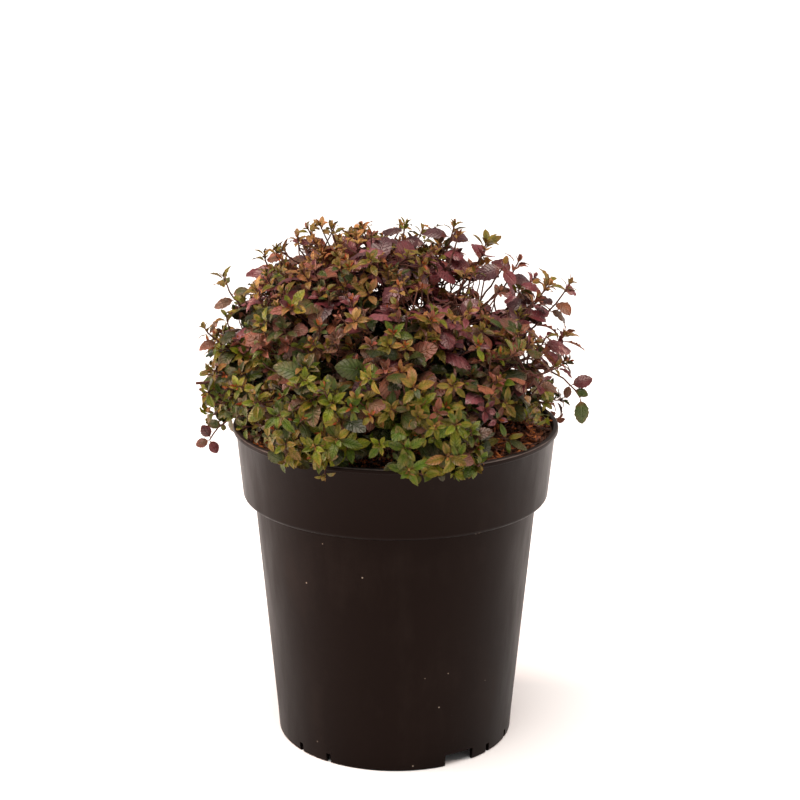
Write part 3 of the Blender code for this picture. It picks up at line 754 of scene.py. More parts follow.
def curve(corners, count, start=0.0, end=1.0):
    """Points on the smooth curve with those four corners, from start to end of its run."""
    points = []
    for step in range(count):
        t = start + (end - start) * step / (count - 1)
        s = 1.0 - t
        weights = (s**3, 3 * s * s * t, 3 * s * t * t, t**3)
        points.append(sum((c * w for c, w in zip(corners, weights)), Vector()))
    return points


def shoot_path(index, count, start, end):
    """Points along a whole shoot, from the crown's head (0) to the tip under the dome (1)."""
    azimuth, elevation = mass_bearing(index)
    toward = bearing(azimuth, elevation)
    raised = BOUGH_LOWEST_START + (90.0 - BOUGH_LOWEST_START) * (elevation - LOWEST_ELEVATION) / (
        90.0 - LOWEST_ELEVATION
    )
    leaving = bearing(azimuth, raised)
    foot = CROWN_HEAD + leaving * (CROWN_HEAD_RADIUS + FIT_GAP)
    tip = DOME_CENTRE + toward * (dome_reach(toward) - TIP_RESERVE)
    arriving = (toward + UPWARD * TIP_UPTURN).normalized()
    handle = 0.36 * (tip - foot).length
    return curve((foot, foot + leaving * handle, tip - arriving * handle, tip), count, start, end)


def is_clear(point):
    """True off the pot, the mulch and the open window."""
    radius = hypot(point.x, point.y)
    if point.z < POT_HEIGHT + POT_MARGIN:
        outside_pot = radius > RIM_RADIUS + POT_MARGIN
        inner = RIM_RADIUS - LIP_OVERHANG - 2 * WALL - POT_MARGIN
        over_soil = radius < inner and point.z > SOIL_TOP + SOIL_MARGIN
        if not (outside_pot or over_soil):
            return False
    azimuth = math.degrees(math.atan2(point.x, -point.y))
    in_window = abs(azimuth - WINDOW_AZIMUTH) < WINDOW_HALF_ANGLE and radius > WINDOW_INNER_RADIUS
    window_top = WINDOW_TOP_Z + WINDOW_FRONT_RISE * max(0.0, -point.y)
    return not (in_window and point.z < window_top)


def as_seen(point):
    """Where the camera's line of sight through that point crosses the upright plane of the pot's axis."""
    share = -CAMERA_PLACE.y / (point.y - CAMERA_PLACE.y)
    across = CAMERA_PLACE.x + (point.x - CAMERA_PLACE.x) * share
    return across, CAMERA_PLACE.z + (point.z - CAMERA_PLACE.z) * share


def kept_open():
    """Where leaves stay out of the line of sight: place, reach squared, and the depth it starts at."""
    rows = [(x * MM, z * MM, (radius * MM + SKY_MARGIN) ** 2, DOME_RADIUS) for x, z, radius in SKY_GAPS]
    for place, length, _ in STARS:
        tip = Vector(place) * MM
        rows.append((*as_seen(tip), (STAR_ROOM * length * MM) ** 2, tip.y))
    return rows


KEPT_OPEN = kept_open()


def keeps_view(point):
    """False in a gap that shows the sky, and in front of a whorl that shows face on."""
    x, z = as_seen(point)
    for place_x, place_z, reach, depth in KEPT_OPEN:
        if point.y < depth and (x - place_x) ** 2 + (z - place_z) ** 2 < reach:
            return False
    return True


# Tubes: boughs and twigs


class Tubes:
    """Tapering round limbs, swept along their paths into one mesh."""

    def __init__(self, sides, relief=0.0):
        self.sides = sides
        self.relief = relief
        self.points = []
        self.faces = []
        self.count = 0

    def add(self, path, radii):
        sides = self.sides
        side = square_to((path[1] - path[0]).normalized(), Vector((0.31, 0.52, 0.79)))
        for step, point in enumerate(path):
            before = path[max(step - 1, 0)]
            after = path[min(step + 1, len(path) - 1)]
            along = (after - before).normalized()
            side = square_to(along, side)
            other = along.cross(side)
            for k in range(sides):
                angle = 2 * pi * k / sides
                out = side * cos(angle) + other * sin(angle)
                radius = radii[step]
                if self.relief:
                    rough = noise.noise((point + out * radius) * 900.0)
                    radius *= 1.0 + self.relief * rough
                self.points.append(point + out * radius)
        for step in range(len(path) - 1):
            for k in range(sides):
                a = self.count + step * sides + k
                b = self.count + step * sides + (k + 1) % sides
                self.faces.append((a, b, b + sides, a + sides))
        first = self.count
        last = self.count + (len(path) - 1) * sides
        self.count += len(path) * sides
        for end, order in ((first, -1), (last, 1)):
            middle = sum((self.points[end + k] for k in range(sides)), Vector()) / sides
            self.points.append(middle)
            for k in range(sides):
                a, b = end + k, end + (k + 1) % sides
                pair = (a, b) if order > 0 else (b, a)
                self.faces.append((*pair, self.count))
            self.count += 1

    def mesh(self, name):
        return mesh_of(name, self.points, self.faces)


def bent_path(start, leaving, end, arriving, count, waver, chance):
    """A limb's path between two points, with its direction at both ends and a slight waver."""
    handle = 0.38 * (end - start).length
    points = curve((start, start + leaving * handle, end - arriving * handle, end), count)
    for step in range(1, count - 1):
        points[step] += Vector([chance.uniform(-waver, waver) for _ in range(3)])
    return points


def taper(foot, tip, count):
    return [foot + (tip - foot) * step / (count - 1) for step in range(count)]


def path_length(path):
    return sum((b - a).length for a, b in zip(path, path[1:]))


def on_path(path, share):
    """The point at that share of a path's points, and the direction there."""
    place = min(share, 0.999) * (len(path) - 1)
    step = min(int(place), len(path) - 2)
    first, second = path[step], path[step + 1]
    return first.lerp(second, place - step), (second - first).normalized()


# Leaves


class Shape:
    """A blade's outline: points along and across it, the half width there, and its faces."""

    def __init__(self, stations, widest, fullness, tooth, columns):
        shares = np.linspace(0.0, 1.0, stations)
        power = math.log(0.5) / math.log(widest)
        outline = np.sin(np.pi * shares**power) ** fullness
        outline[0] = PETIOLE_WIDTH * 2
        outline[-1] = PETIOLE_WIDTH
        toothed = (np.arange(stations) % 2 == 1) & (shares > 0.2) & (shares < 0.97)
        outline = np.where(toothed, outline * (1.0 - tooth), outline)
        along = np.concatenate(([-PETIOLE_SHARE], shares))
        half = np.concatenate(([PETIOLE_WIDTH], outline))
        across = np.linspace(-1.0, 1.0, columns)
        self.along = np.repeat(along, columns)
        self.across = np.tile(across, len(along))
        self.half = np.repeat(half, columns)
        corners = np.arange((len(along) - 1) * columns).reshape(-1, columns)[:, :-1].ravel()
        self.faces = np.stack((corners, corners + columns, corners + columns + 1, corners + 1), axis=1)


SHAPES = {
    "young": Shape(9, 0.53, 0.74, 0.07, 3),
    "old": Shape(12, 0.48, 0.62, 0.10, 5),
    "bud": Shape(5, 0.48, 0.90, 0.0, 3),
}


class Leaves:
    """Leaves of one colour, built at the end as one mesh."""

    def __init__(self):
        self.rows = {name: [] for name in SHAPES}

    def add(self, shape, root, along, up, length, half, fold, curl, wave, own):
        x = along.normalized()
        z = square_to(x, up)
        y = z.cross(x)
        self.rows[shape].append((*root, *x, *y, *z, length, half, fold, curl, wave, own))

    def blades(self, name):
        """The points, faces and blade places of all leaves of one shape."""
        shape = SHAPES[name]
        rows = np.array(self.rows[name])
        root, x, y, z = (rows[:, 3 * k : 3 * k + 3] for k in range(4))
        length, half, fold, curl, wave, own = (rows[:, 12 + k][:, None] for k in range(6))
        along = shape.along[None]
        beside = np.abs(shape.across)[None]
        forward = np.repeat(along + PETIOLE_SHARE, len(rows), axis=0)
        side = shape.across[None] * shape.half[None] * half
        lift = beside * shape.half[None] * half * fold
        arch = curl * np.clip(along, 0.0, 1.0) * (0.55 - np.clip(along, 0.0, 1.0))
        ripple = wave * np.sin(along * 21.0 + own * 6.0) * beside * beside
        local = np.stack((forward, side, lift + arch + ripple), axis=2) * length[:, :, None]
        axes = np.stack((x, y, z), axis=1)
        points = root[:, None] + np.einsum("nvk,nkj->nvj", local, axes)
        size = len(shape.along)
        faces = shape.faces[None] + (np.arange(len(rows)) * size)[:, None, None]
        places = np.empty((len(rows), size, 3), np.float32)
        places[:, :, 0] = np.clip(shape.along, 0.0, 1.0)[None]
        places[:, :, 1] = beside
        places[:, :, 2] = own
        return points.reshape(-1, 3), faces.reshape(-1, 4), places.reshape(-1, 3)

    def mesh(self, name):
        points, faces, places = [], [], []
        total = 0
        for shape in SHAPES:
            if self.rows[shape]:
                made = self.blades(shape)
                points.append(made[0])
                faces.append(made[1] + total)
                places.append(made[2])
                total += len(made[0])
        data = mesh_of(name, np.concatenate(points).tolist(), np.concatenate(faces).tolist())
        blade = data.attributes.new("blade", "FLOAT_VECTOR", "POINT")
        blade.data.foreach_set("vector", np.concatenate(places).ravel())
        return data


class Foliage:
    """Grows the twigs and leaves of every mass on from its bough."""

    def __init__(self):
        self.chance = random.Random(SEED)
        self.leeway = 1.0
        self.kept_views = True
        self.twigs = Tubes(TWIG_SIDES)
        self.colours = {name: Leaves() for name in LEAF_COLOURS}

    def height_share(self, point):
        """From 0 at the pot's rim to 1 at the top of the crown."""
        return min(1.0, max(0.0, (point.z - POT_HEIGHT) / (DOME_CENTRE.z + DOME_RISE - POT_HEIGHT)))

    def leaf_fits(self, root, along, length):
        for share in (0.55, 1.12):
            point = root + along * length * share
            if not is_clear(point) or not inside_dome(point, self.leeway):
                return False
        if self.kept_views:
            return all(keeps_view(root + along * length * share) for share in (0.15, 0.5, 0.85, 1.15))
        return True

    def add_leaf(self, shape, colour, root, along, up, length, width, fold, curl):
        """A leaf of that size, or a smaller one where it doesn't fit, or none."""
        chance = self.chance
        for size in SMALLER_LEAVES:
            if self.leaf_fits(root, along, length * size):
                half = width / 2 * chance.uniform(0.88, 1.14)
                fold *= chance.uniform(0.4, 1.5)
                curl *= chance.uniform(0.4, 1.5)
                wave = chance.uniform(0.0, 0.05)
                leaf = (shape, root, along, up, length * size, half, fold, curl, wave, chance.random())
                self.colours[colour].add(*leaf)
                return

    def warmth(self, point):
        """From 0, low at the front and left, to 1 at the top and right, with some chance in it."""
        height = self.height_share(point)
        right = point.x / DOME_RADIUS
        front = max(0.0, -point.y / DOME_RADIUS)
        value = WARMTH_LOW_DOWN + WARMTH_BY_HEIGHT * height + WARMTH_BY_RIGHT * right
        value -= COOLNESS_BY_FRONT * front * (1.0 - height)
        return value + self.chance.gauss(0.0, WARMTH_WAVER)

    def in_shade(self, point):
        """True under the crown's surface, deeper down where it is higher."""
        away = point - DOME_CENTRE
        aim = away.normalized()
        share = between(SHADED_SHARES, self.height_share(point))
        return away.length < share * (dome_reach(aim) - hollow(aim))

    def pick(self, colours, point):
        """A colour by the warmth there, from the rows in the sun or in the shade."""
        warm = self.warmth(point)
        rows = colours[1] if self.in_shade(point) else colours[0]
        return self.chance.choice(next(names for limit, names in rows if warm < limit))

    def rosette(self, tip, axis, colour=None, scale=1.0, length=None):
        """A whorl of young leaves at a twig's tip round a tuft of the youngest."""
        chance = self.chance
        height = self.height_share(tip)
        size = between(ROSETTE_LENGTHS, sqrt(height))
        size = length or size * scale * chance.uniform(0.72, 1.12)
        colour = colour or self.pick(YOUNG_COLOURS, tip)
        start = chance.uniform(0.0, 360.0)
        side = square_to(axis, UPWARD)
        count = ROSETTE_LEAVES + chance.choice((-1, 0, 1, 1))
        for step in range(count):
            inner = step / max(1, count - 1)
            tilt = ROSETTE_TILT - ROSETTE_TILT_LESS_HIGH * height - ROSETTE_TILT_LESS_INSIDE * inner
            tilt += chance.uniform(-ROSETTE_TILT_WAVER, ROSETTE_TILT_WAVER)
            along = tilted(axis, side, start + GOLDEN_ANGLE * step, tilt).normalized()
            reach = size * (1.08 - 0.46 * inner) * chance.uniform(0.82, 1.15)
            root = tip - axis * (4.6 - 4.2 * inner) * MM
            shown = colour if chance.random() < 0.75 else self.pick(YOUNG_COLOURS, tip)
            self.add_leaf("young", shown, root, along, axis, reach, ROSETTE_WIDTH, 0.40, 0.50)
        young = chance.choice(("ember", "bronze", colour, colour))
        for step in range(BUD_LEAVES):
            along = tilted(axis, side, start + 60.0 + 120.0 * step, 18.0 + 14.0 * step).normalized()
            reach = BUD_LENGTH * chance.uniform(0.7, 1.2)
            self.add_leaf("bud", young, tip - axis * 0.3 * MM, along, axis, reach, BUD_WIDTH, 0.5, 0.2)

    def stem_leaves(self, path, first, last, lean=0.0):
        """Larger, older leaves along a twig, one golden turn apart, held level and arched.

        With lean they turn their upper side to the front."""
        chance = self.chance
        spacing = between(STEM_LEAF_SPACINGS, self.height_share(path[-1]) ** 2)
        if lean:
            spacing = SHOOT_LEAF_SPACING
        count = max(1, int((last - first) * path_length(path) / spacing))
        start = chance.uniform(0.0, 360.0)
        for step in range(count):
            share = first + (last - first) * (step + chance.uniform(0.2, 0.8)) / count
            node, axis = on_path(path, share)
            side = square_to(axis, UPWARD)
            along = tilted(axis, side, start + GOLDEN_ANGLE * step, chance.uniform(*STEM_LEAF_TILTS))
            along.z = 0.55 * along.z + chance.uniform(-0.16, 0.06)
            along.normalize()
            outward = (node - DOME_CENTRE).normalized()
            up = axis * 0.5 + Vector((0.0, -lean, 1.1)) + outward * 0.6
            up += Vector([chance.uniform(-0.7, 0.7) for _ in range(3)])
            length = SHOOT_LEAF_LENGTH if lean else between(STEM_LEAF_LENGTHS, self.height_share(node))
            length *= chance.uniform(0.66, 1.25)
            colour = self.pick(OLD_COLOURS, node)
            fold = chance.choice(STEM_LEAF_FOLDS)
            self.add_leaf("old", colour, node, along, up, length, STEM_LEAF_WIDTH, fold, 0.60)

    def add_twig(self, path, foot_radius, tip_radius=TWIG_TIP_RADIUS):
        """A twig along that path; returns its direction at the tip."""
        self.twigs.add(path, taper(foot_radius, tip_radius, len(path)))
        return (path[-1] - path[-2]).normalized()

    def grow_spray(self, parent, share, toward):
        """A fine twig from a side twig, ending in a rosette."""
        chance = self.chance
        node, axis = on_path(parent, share)
        side = square_to(axis, UPWARD)
        turn = Matrix.Rotation(chance.uniform(0.0, 2 * pi), 3, axis)
        leaving = (axis * 0.55 + (turn @ side) * 0.75 + toward * 0.35).normalized()
        for size in SMALLER_SPRAYS:
            tip = node + leaving * SPRAY_LENGTH * size * chance.uniform(0.75, 1.15)
            if inside_dome(tip) and is_clear(tip):
                break
        else:
            return
        if not keeps_view(tip):
            return
        arriving = (leaving + UPWARD * 0.45).normalized()
        path = bent_path(node, leaving, tip, arriving, SPRAY_POINTS, TWIG_WAVER / 2, chance)
        self.rosette(tip, self.add_twig(path, SPRAY_RADIUS, TWIG_TIP_RADIUS * 0.85))
        self.stem_leaves(path, 0.1, 0.8)

    def grow_side_twig(self, index, leader, number, spin):
        """A side twig from the leader to its own place under the dome, with its sprays."""
        chance = self.chance
        toward = bearing(*mass_bearing(index))
        spread = radians(TIP_SPREAD_ANGLE * sqrt((number + 0.6) / SIDE_TWIGS))
        share = SIDE_TWIG_LAST - (SIDE_TWIG_LAST - SIDE_TWIG_FIRST) * number / (SIDE_TWIGS - 1)
        node, axis = on_path(leader, share)
        depth = TIP_DEPTH + chance.random() ** 1.3 * TIP_DEPTH_WAVER
        for reach in TIP_REACHES:
            lean = Matrix.Rotation(spread * reach, 3, toward.orthogonal())
            around = Matrix.Rotation(radians(spin + GOLDEN_ANGLE * number), 3, toward)
            aim = around @ (lean @ toward)
            tip = DOME_CENTRE + aim * (dome_reach(aim) - depth - hollow(aim))
            if is_clear(tip) and is_clear(node.lerp(tip, 0.6)):
                break
        else:
            return
        if on_open_right(aim) and chance.random() > OPEN_RIGHT_TWIGS:
            return
        leaving = (axis + (tip - node).normalized()).normalized()
        arriving = (aim + UPWARD * (0.55 + max(0.0, aim.z) ** 2)).normalized()
        path = bent_path(node, leaving, tip, arriving, SIDE_TWIG_POINTS, TWIG_WAVER, chance)
        self.rosette(tip, self.add_twig(path, SIDE_TWIG_RADIUS))
        self.stem_leaves(path, 0.10, 0.84)
        for place in SPRAY_PLACES:
            if chance.random() < spray_share(aim):
                self.grow_spray(path, place, toward)

    def grow(self, index):
        """A whole mass: the leader that goes on from the bough, and its side twigs."""
        leader = shoot_path(index, LEADER_POINTS, BOUGH_SHARE, 1.0)
        self.rosette(leader[-1], self.add_twig(leader, TWIG_FOOT_RADIUS))
        self.stem_leaves(leader, 0.05, 0.9)
        spin = self.chance.uniform(0.0, 360.0)
        for number in range(SIDE_TWIGS):
            self.grow_side_twig(index, leader, number, spin)

    def grow_shoot(self, foot, tip, colour):
        """A shoot that stands clear, leafy down its length, with a tuft at its tip."""
        self.leeway = SHOOT_LEEWAY
        foot, tip = Vector(foot) * MM, Vector(tip) * MM
        leaving = (tip - foot).normalized()
        arriving = (leaving + UPWARD * 0.5).normalized()
        path = bent_path(foot, leaving, tip, arriving, SIDE_TWIG_POINTS, TWIG_WAVER, self.chance)
        self.rosette(tip, self.add_twig(path, SIDE_TWIG_RADIUS), colour, SHOOT_TUFT_SIZE)
        self.stem_leaves(path, 0.15, 0.90, SHOOT_LEAN)
        self.leeway = 1.0

    def grow_sprig(self, width, stem, leaves):
        """A twig that shows by itself, with a few leaves that face the front."""
        chance = self.chance
        foot, middle, tip = (Vector(place) * MM for place in stem)
        leaving = (middle - foot).normalized()
        arriving = (tip - middle).normalized()
        path = bent_path(foot, leaving, tip, arriving, SIDE_TWIG_POINTS, TWIG_WAVER / 2, chance)
        self.add_twig(path, SIDE_TWIG_RADIUS)
        for share, (right, rise), length, colour in leaves:
            node, _ = on_path(path, share)
            along = Vector((right, chance.uniform(-0.35, 0.1), rise))
            up = Vector((chance.uniform(-0.3, 0.3), -1.0, 0.5))
            leaf = ("old", node, along, up, length * MM, width / 2, -0.18, 0.4, 0.02, chance.random())
            self.colours[colour].add(*leaf)

    def grow_star(self, place, length, colour):
        """A short twig whose whorl of young leaves faces outwards and to the front."""
        tip = Vector(place) * MM
        outward = (tip - DOME_CENTRE).normalized()
        foot = tip - outward * STAR_TWIG_LENGTH
        axis = (outward * 0.7 + Vector((0.0, -0.6, 0.35))).normalized()
        path = bent_path(foot, outward, tip, axis, SPRAY_POINTS, TWIG_WAVER / 2, self.chance)
        self.add_twig(path, SPRAY_RADIUS)
        self.kept_views = False
        self.leeway = SHOOT_LEEWAY
        self.rosette(tip, axis, colour, length=length * MM)
        self.kept_views = True
        self.leeway = 1.0

    def grow_stub(self, start, end):
        """The bare end of a stem that was cut."""
        start, end = Vector(start) * MM, Vector(end) * MM
        path = [start.lerp(end, step / (STUB_POINTS - 1)) for step in range(STUB_POINTS)]
        self.add_twig(path, STUB_RADIUS, STUB_RADIUS * 0.9)


def on_open_right(aim):
    """True on the airy shoulder on the right, where the sky shows between the twigs."""
    return aim.x > 0.25 and aim.z > 0.25


def spray_share(aim):
    """How many of the sprays are grown in that direction, from 0 to 1."""
    if on_open_right(aim):
        return OPEN_RIGHT_SPRAYS
    if aim.x > 0.55:
        return OPEN_FLANK_SPRAYS
    if aim.z > 0.5:
        return HIGH_SPRAYS
    return MIDDLE_SPRAYS if aim.z > 0.2 else 1.0


def hollow(aim):
    """How far the crown falls short of the dome in that direction."""
    lump = LUMP_DEPTH * (0.5 + 0.5 * noise.noise(aim * LUMP_SCALE))
    shoulder = SHOULDER_DEPTH * max(0.0, aim.x) * max(0.0, aim.z) * 2.0
    flank = FLANK_DEPTH * max(0.0, aim.x) ** 4 * max(0.0, 1.0 - 2.2 * abs(aim.z - 0.05))
    return lump + shoulder + flank


def make_foliage():
    foliage = Foliage()
    for index in range(MASS_COUNT):
        foliage.grow(index)
    by_hand = (
        (foliage.grow_shoot, SHOOTS),
        (foliage.grow_sprig, SPRIGS),
        (foliage.grow_star, STARS),
        (foliage.grow_stub, STUBS),
    )
    for grow, rows in by_hand:
        for row in rows:
            grow(*row)
    piece_from("twigs", foliage.twigs.mesh("twigs"), bark_material("twig_bark"), MASSES)
    for name, leaves in foliage.colours.items():
        colour, blush, gloss, slot = LEAF_COLOURS[name]
        piece = "leaves_" + name
        piece_from(piece, leaves.mesh(piece), leaf_material(name, colour, blush, gloss), MASSES)


def make_boughs():
    tubes = Tubes(BOUGH_SIDES, BOUGH_ROUGHNESS)
    for index in range(MASS_COUNT):
        path = shoot_path(index, BOUGH_POINTS, 0.0, BOUGH_SHARE)
        path[0] = path[0].lerp(CROWN_HEAD, 0.12)
        tubes.add(path, taper(BOUGH_FOOT_RADIUS, BOUGH_TIP_RADIUS, BOUGH_POINTS))
    piece_from("boughs", tubes.mesh("boughs"), bark_material("stem_bark"), BOUGHS)


def crown_radius(z):
    """The crown stem's radius at that height: a flare, a neck and a round head."""
    if z > CROWN_HEAD.z:
        lift = min(1.0, (z - CROWN_HEAD.z) / CROWN_HEAD_RADIUS)
        return CROWN_HEAD_RADIUS * sqrt(max(0.0, 1.0 - lift * lift))
    up = (z - stem_low.z) / (CROWN_HEAD.z - stem_low.z)
    return CROWN_NECK_RADIUS + (CROWN_FLARE_RADIUS - CROWN_NECK_RADIUS) * (1.0 - up) ** 3


def make_crown_stem():
    """The short stem with its flare, its knobbly head and fissured bark."""
    points = []
    for ring in range(CROWN_RINGS + 1):
        t = ring / CROWN_RINGS
        z = stem_low.z + (stem_high.z - stem_low.z) * t
        for side in range(CROWN_SIDES):
            angle = 2 * pi * side / CROWN_SIDES
            out = Vector((cos(angle), sin(angle), 0.0))
            place = out * max(crown_radius(z), 0.0002) + UPWARD * z
            ridge = noise.noise(Vector((out.x * 3.2, out.y * 3.2, z * 160.0)))
            fine = noise.noise(place * 700.0)
            relief = 0.7 * ridge + 0.35 * fine - 0.5
            points.append(place + out * relief * MM * (1 - t**6))
    faces = []
    for low in range(0, CROWN_RINGS * CROWN_SIDES, CROWN_SIDES):
        for side in range(CROWN_SIDES):
            a, b = low + side, low + (side + 1) % CROWN_SIDES
            faces.append((a, b, b + CROWN_SIDES, a + CROWN_SIDES))
    faces.append(range(CROWN_SIDES)[::-1])
    faces.append(range(len(points) - CROWN_SIDES, len(points)))
    data = mesh_of("crown_stem_bark", points, faces)
    piece_from("crown_stem_bark", data, bark_material("crown_bark"), ["crown_stem"])


# Pot


def wall_radius(height):
    """The outer radius of the pot's tapering body below the collar."""
    share = (height - FOOT_CHAMFER_Z) / (COLLAR_BOTTOM_Z - COLLAR_ROUNDING - FOOT_CHAMFER_Z)
    return FOOT_CHAMFER_RADIUS + share * (BODY_TOP_RADIUS - FOOT_CHAMFER_RADIUS)


def arc(centre_radius, centre_z, size, start, end, count):
    """Points on an arc in the profile's plane, angles in degrees from +radius."""
    points = []
    for step in range(count + 1):
        angle = radians(start + (end - start) * step / count)
        points.append((centre_radius + size * cos(angle), centre_z + size * sin(angle)))
    return points


def pot_profile():
    """From the middle of the floor's upper side, up the inside, over the lip and down the outside."""
    floor_top = FLOOR_UNDERSIDE_Z + WALL
    ledge_z = COLLAR_BOTTOM_Z - COLLAR_ROUNDING
    lip_z = POT_HEIGHT - LIP_HEIGHT
    collar_top = RIM_RADIUS - LIP_OVERHANG
    lip_inner = collar_top - WALL
    inside = [
        (0.0, floor_top),
        (wall_radius(FOOT_CHAMFER_Z) - 2 * WALL, floor_top),
        (wall_radius(FOOT_CHAMFER_Z) - WALL, FOOT_CHAMFER_Z),
        (BODY_TOP_RADIUS - WALL, ledge_z + 0.4 * WALL),
        (COLLAR_BOTTOM_RADIUS - WALL, COLLAR_BOTTOM_Z + WALL),
    ]
    inner, edge, lower = LIP_INNER_ROUNDING, LIP_EDGE_RADIUS, LIP_LOWER_ROUNDING
    lip = arc(lip_inner + inner, POT_HEIGHT - inner, inner, 180, 90, 5)
    lip += arc(RIM_RADIUS - edge, POT_HEIGHT - edge, edge, 90, 0, 9)
    lip += arc(RIM_RADIUS - lower, lip_z + lower, lower, 0, -90, 5)
    lip += [(collar_top + 0.25 * MM, lip_z), (collar_top, lip_z - 0.4 * MM)]
    collar = arc(COLLAR_BOTTOM_RADIUS - COLLAR_ROUNDING, COLLAR_BOTTOM_Z, COLLAR_ROUNDING, 0, -90, 8)
    step_in = [(BODY_TOP_RADIUS + STEP_ROUNDING, ledge_z), (BODY_TOP_RADIUS, ledge_z - STEP_ROUNDING)]
    foot = [
        (FOOT_CHAMFER_RADIUS, FOOT_CHAMFER_Z),
        (FOOT_RADIUS + 0.1 * MM, 0.8 * MM),
        (FOOT_RADIUS - FOOT_ROUNDING, 0.0),
        (FOOT_RADIUS - FOOT_RING_WIDTH, 0.0),
        (FOOT_RADIUS - FOOT_RING_WIDTH + 0.5 * MM, FLOOR_UNDERSIDE_Z),
        (0.0, FLOOR_UNDERSIDE_Z),
    ]
    return inside + lip + collar + step_in + foot


def foot_cutter(azimuth, width, height):
    """A block that cuts a notch of that size through the foot ring."""
    data = bpy.data.meshes.new("foot_cutter")
    shape = bmesh.new()
    bmesh.ops.create_cube(shape, size=1.0)
    bmesh.ops.scale(shape, vec=(width, CUTTER_DEPTH, height + NOTCH_DEPTH_BELOW), verts=shape.verts)
    shape.to_mesh(data)
    shape.free()
    cutter = link(bpy.data.objects.new("foot_cutter", data))
    cutter.location = bearing(azimuth, 0.0) * (FOOT_RADIUS - FOOT_RING_WIDTH / 2)
    cutter.location.z = (height - NOTCH_DEPTH_BELOW) / 2
    cutter.rotation_euler.z = radians(azimuth)
    return cutter


def make_pot():
    """The profile turned round the axis, with the notches cut out of the foot ring."""
    points = [(radius, 0.0, height) for radius, height in pot_profile()]
    edges = [(i, i + 1) for i in range(len(points) - 1)]
    data = mesh_of("pot_profile", points, [], edges, smooth=False)
    turned = link(bpy.data.objects.new("pot_turned", data))
    screw = turned.modifiers.new("turn", "SCREW")
    screw.steps = POT_STEPS
    screw.render_steps = POT_STEPS
    screw.use_merge_vertices = True
    screw.merge_threshold = 0.00001
    cutters = [foot_cutter(NOTCH_AZIMUTH, NOTCH_WIDTH, NOTCH_HEIGHT)]
    for middle in SLOT_PAIR_AZIMUTHS:
        for side in (-1, 1):
            cutters.append(foot_cutter(middle + side * SLOT_PAIR_HALF_ANGLE, SLOT_WIDTH, SLOT_HEIGHT))
    for cutter in cutters:
        cut = turned.modifiers.new("cut", "BOOLEAN")
        cut.operation = "DIFFERENCE"
        cut.object = cutter
        cut.solver = "EXACT"
    graph = bpy.context.evaluated_depsgraph_get()
    whole = bpy.data.meshes.new_from_object(turned.evaluated_get(graph))
    for helper in (turned, *cutters):
        bpy.data.objects.remove(helper)
    whole.name = "pot_shell"
    whole.shade_smooth()
    whole.set_sharp_from_angle(angle=radians(SHARP_ANGLE))
    piece_from("pot_shell", whole, pot_material(), ["pot"])


# Mulch


def mulch_height(x, y):
    """The mulch's own top: lumpy, and rising towards the pot's wall."""
    radius = hypot(x, y) / SOIL_RADIUS
    base = SOIL_TOP - (SOIL_TOP - SOIL_EDGE_Z) * radius**3
    coarse = noise.noise(Vector((x * 70.0, y * 70.0, 3.0)))
    lumps = coarse + 0.5 * noise.noise(Vector((x * 210.0, y * 210.0, 9.0)))
    flat = min(1.0, max(0.0, (radius * SOIL_RADIUS - CROWN_FLARE_RADIUS) / (6.0 * MM)))
    return base + (lumps - 0.9) * MULCH_RELIEF * 0.6 * flat


def make_mulch_bed():
    """The lumpy top of the growing medium, closed below."""
    rings, sides = MULCH_BED_RINGS, MULCH_BED_SIDES
    points = [(0.0, 0.0, mulch_height(0.0, 0.0))]
    for ring in range(1, rings + 1):
        radius = SOIL_RADIUS * ring / rings
        for side in range(sides):
            angle = 2 * pi * side / sides
            x, y = radius * cos(angle), radius * sin(angle)
            points.append((x, y, mulch_height(x, y)))
    faces = []
    for side in range(sides):
        faces.append((0, 1 + side, 1 + (side + 1) % sides))
    for ring in range(rings - 1):
        for side in range(sides):
            a = 1 + ring * sides + side
            b = 1 + ring * sides + (side + 1) % sides
            faces.append((a, a + sides, b + sides, b))
    rim = 1 + (rings - 1) * sides
    lower_z = COLLAR_BOTTOM_Z + 2 * WALL
    first = len(points)
    for side in range(sides):
        angle = 2 * pi * side / sides
        radius = COLLAR_BOTTOM_RADIUS - WALL - 2 * FIT_GAP
        points.append((radius * cos(angle), radius * sin(angle), lower_z))
    for side in range(sides):
        after = (side + 1) % sides
        faces.append((rim + side, first + side, first + after, rim + after))
    faces.append(tuple(first + side for side in reversed(range(sides))))
    data = mesh_of("mulch_bed", points, faces)
    piece_from("mulch_bed", data, bark_material("mulch_bed"), ["growing_medium"])


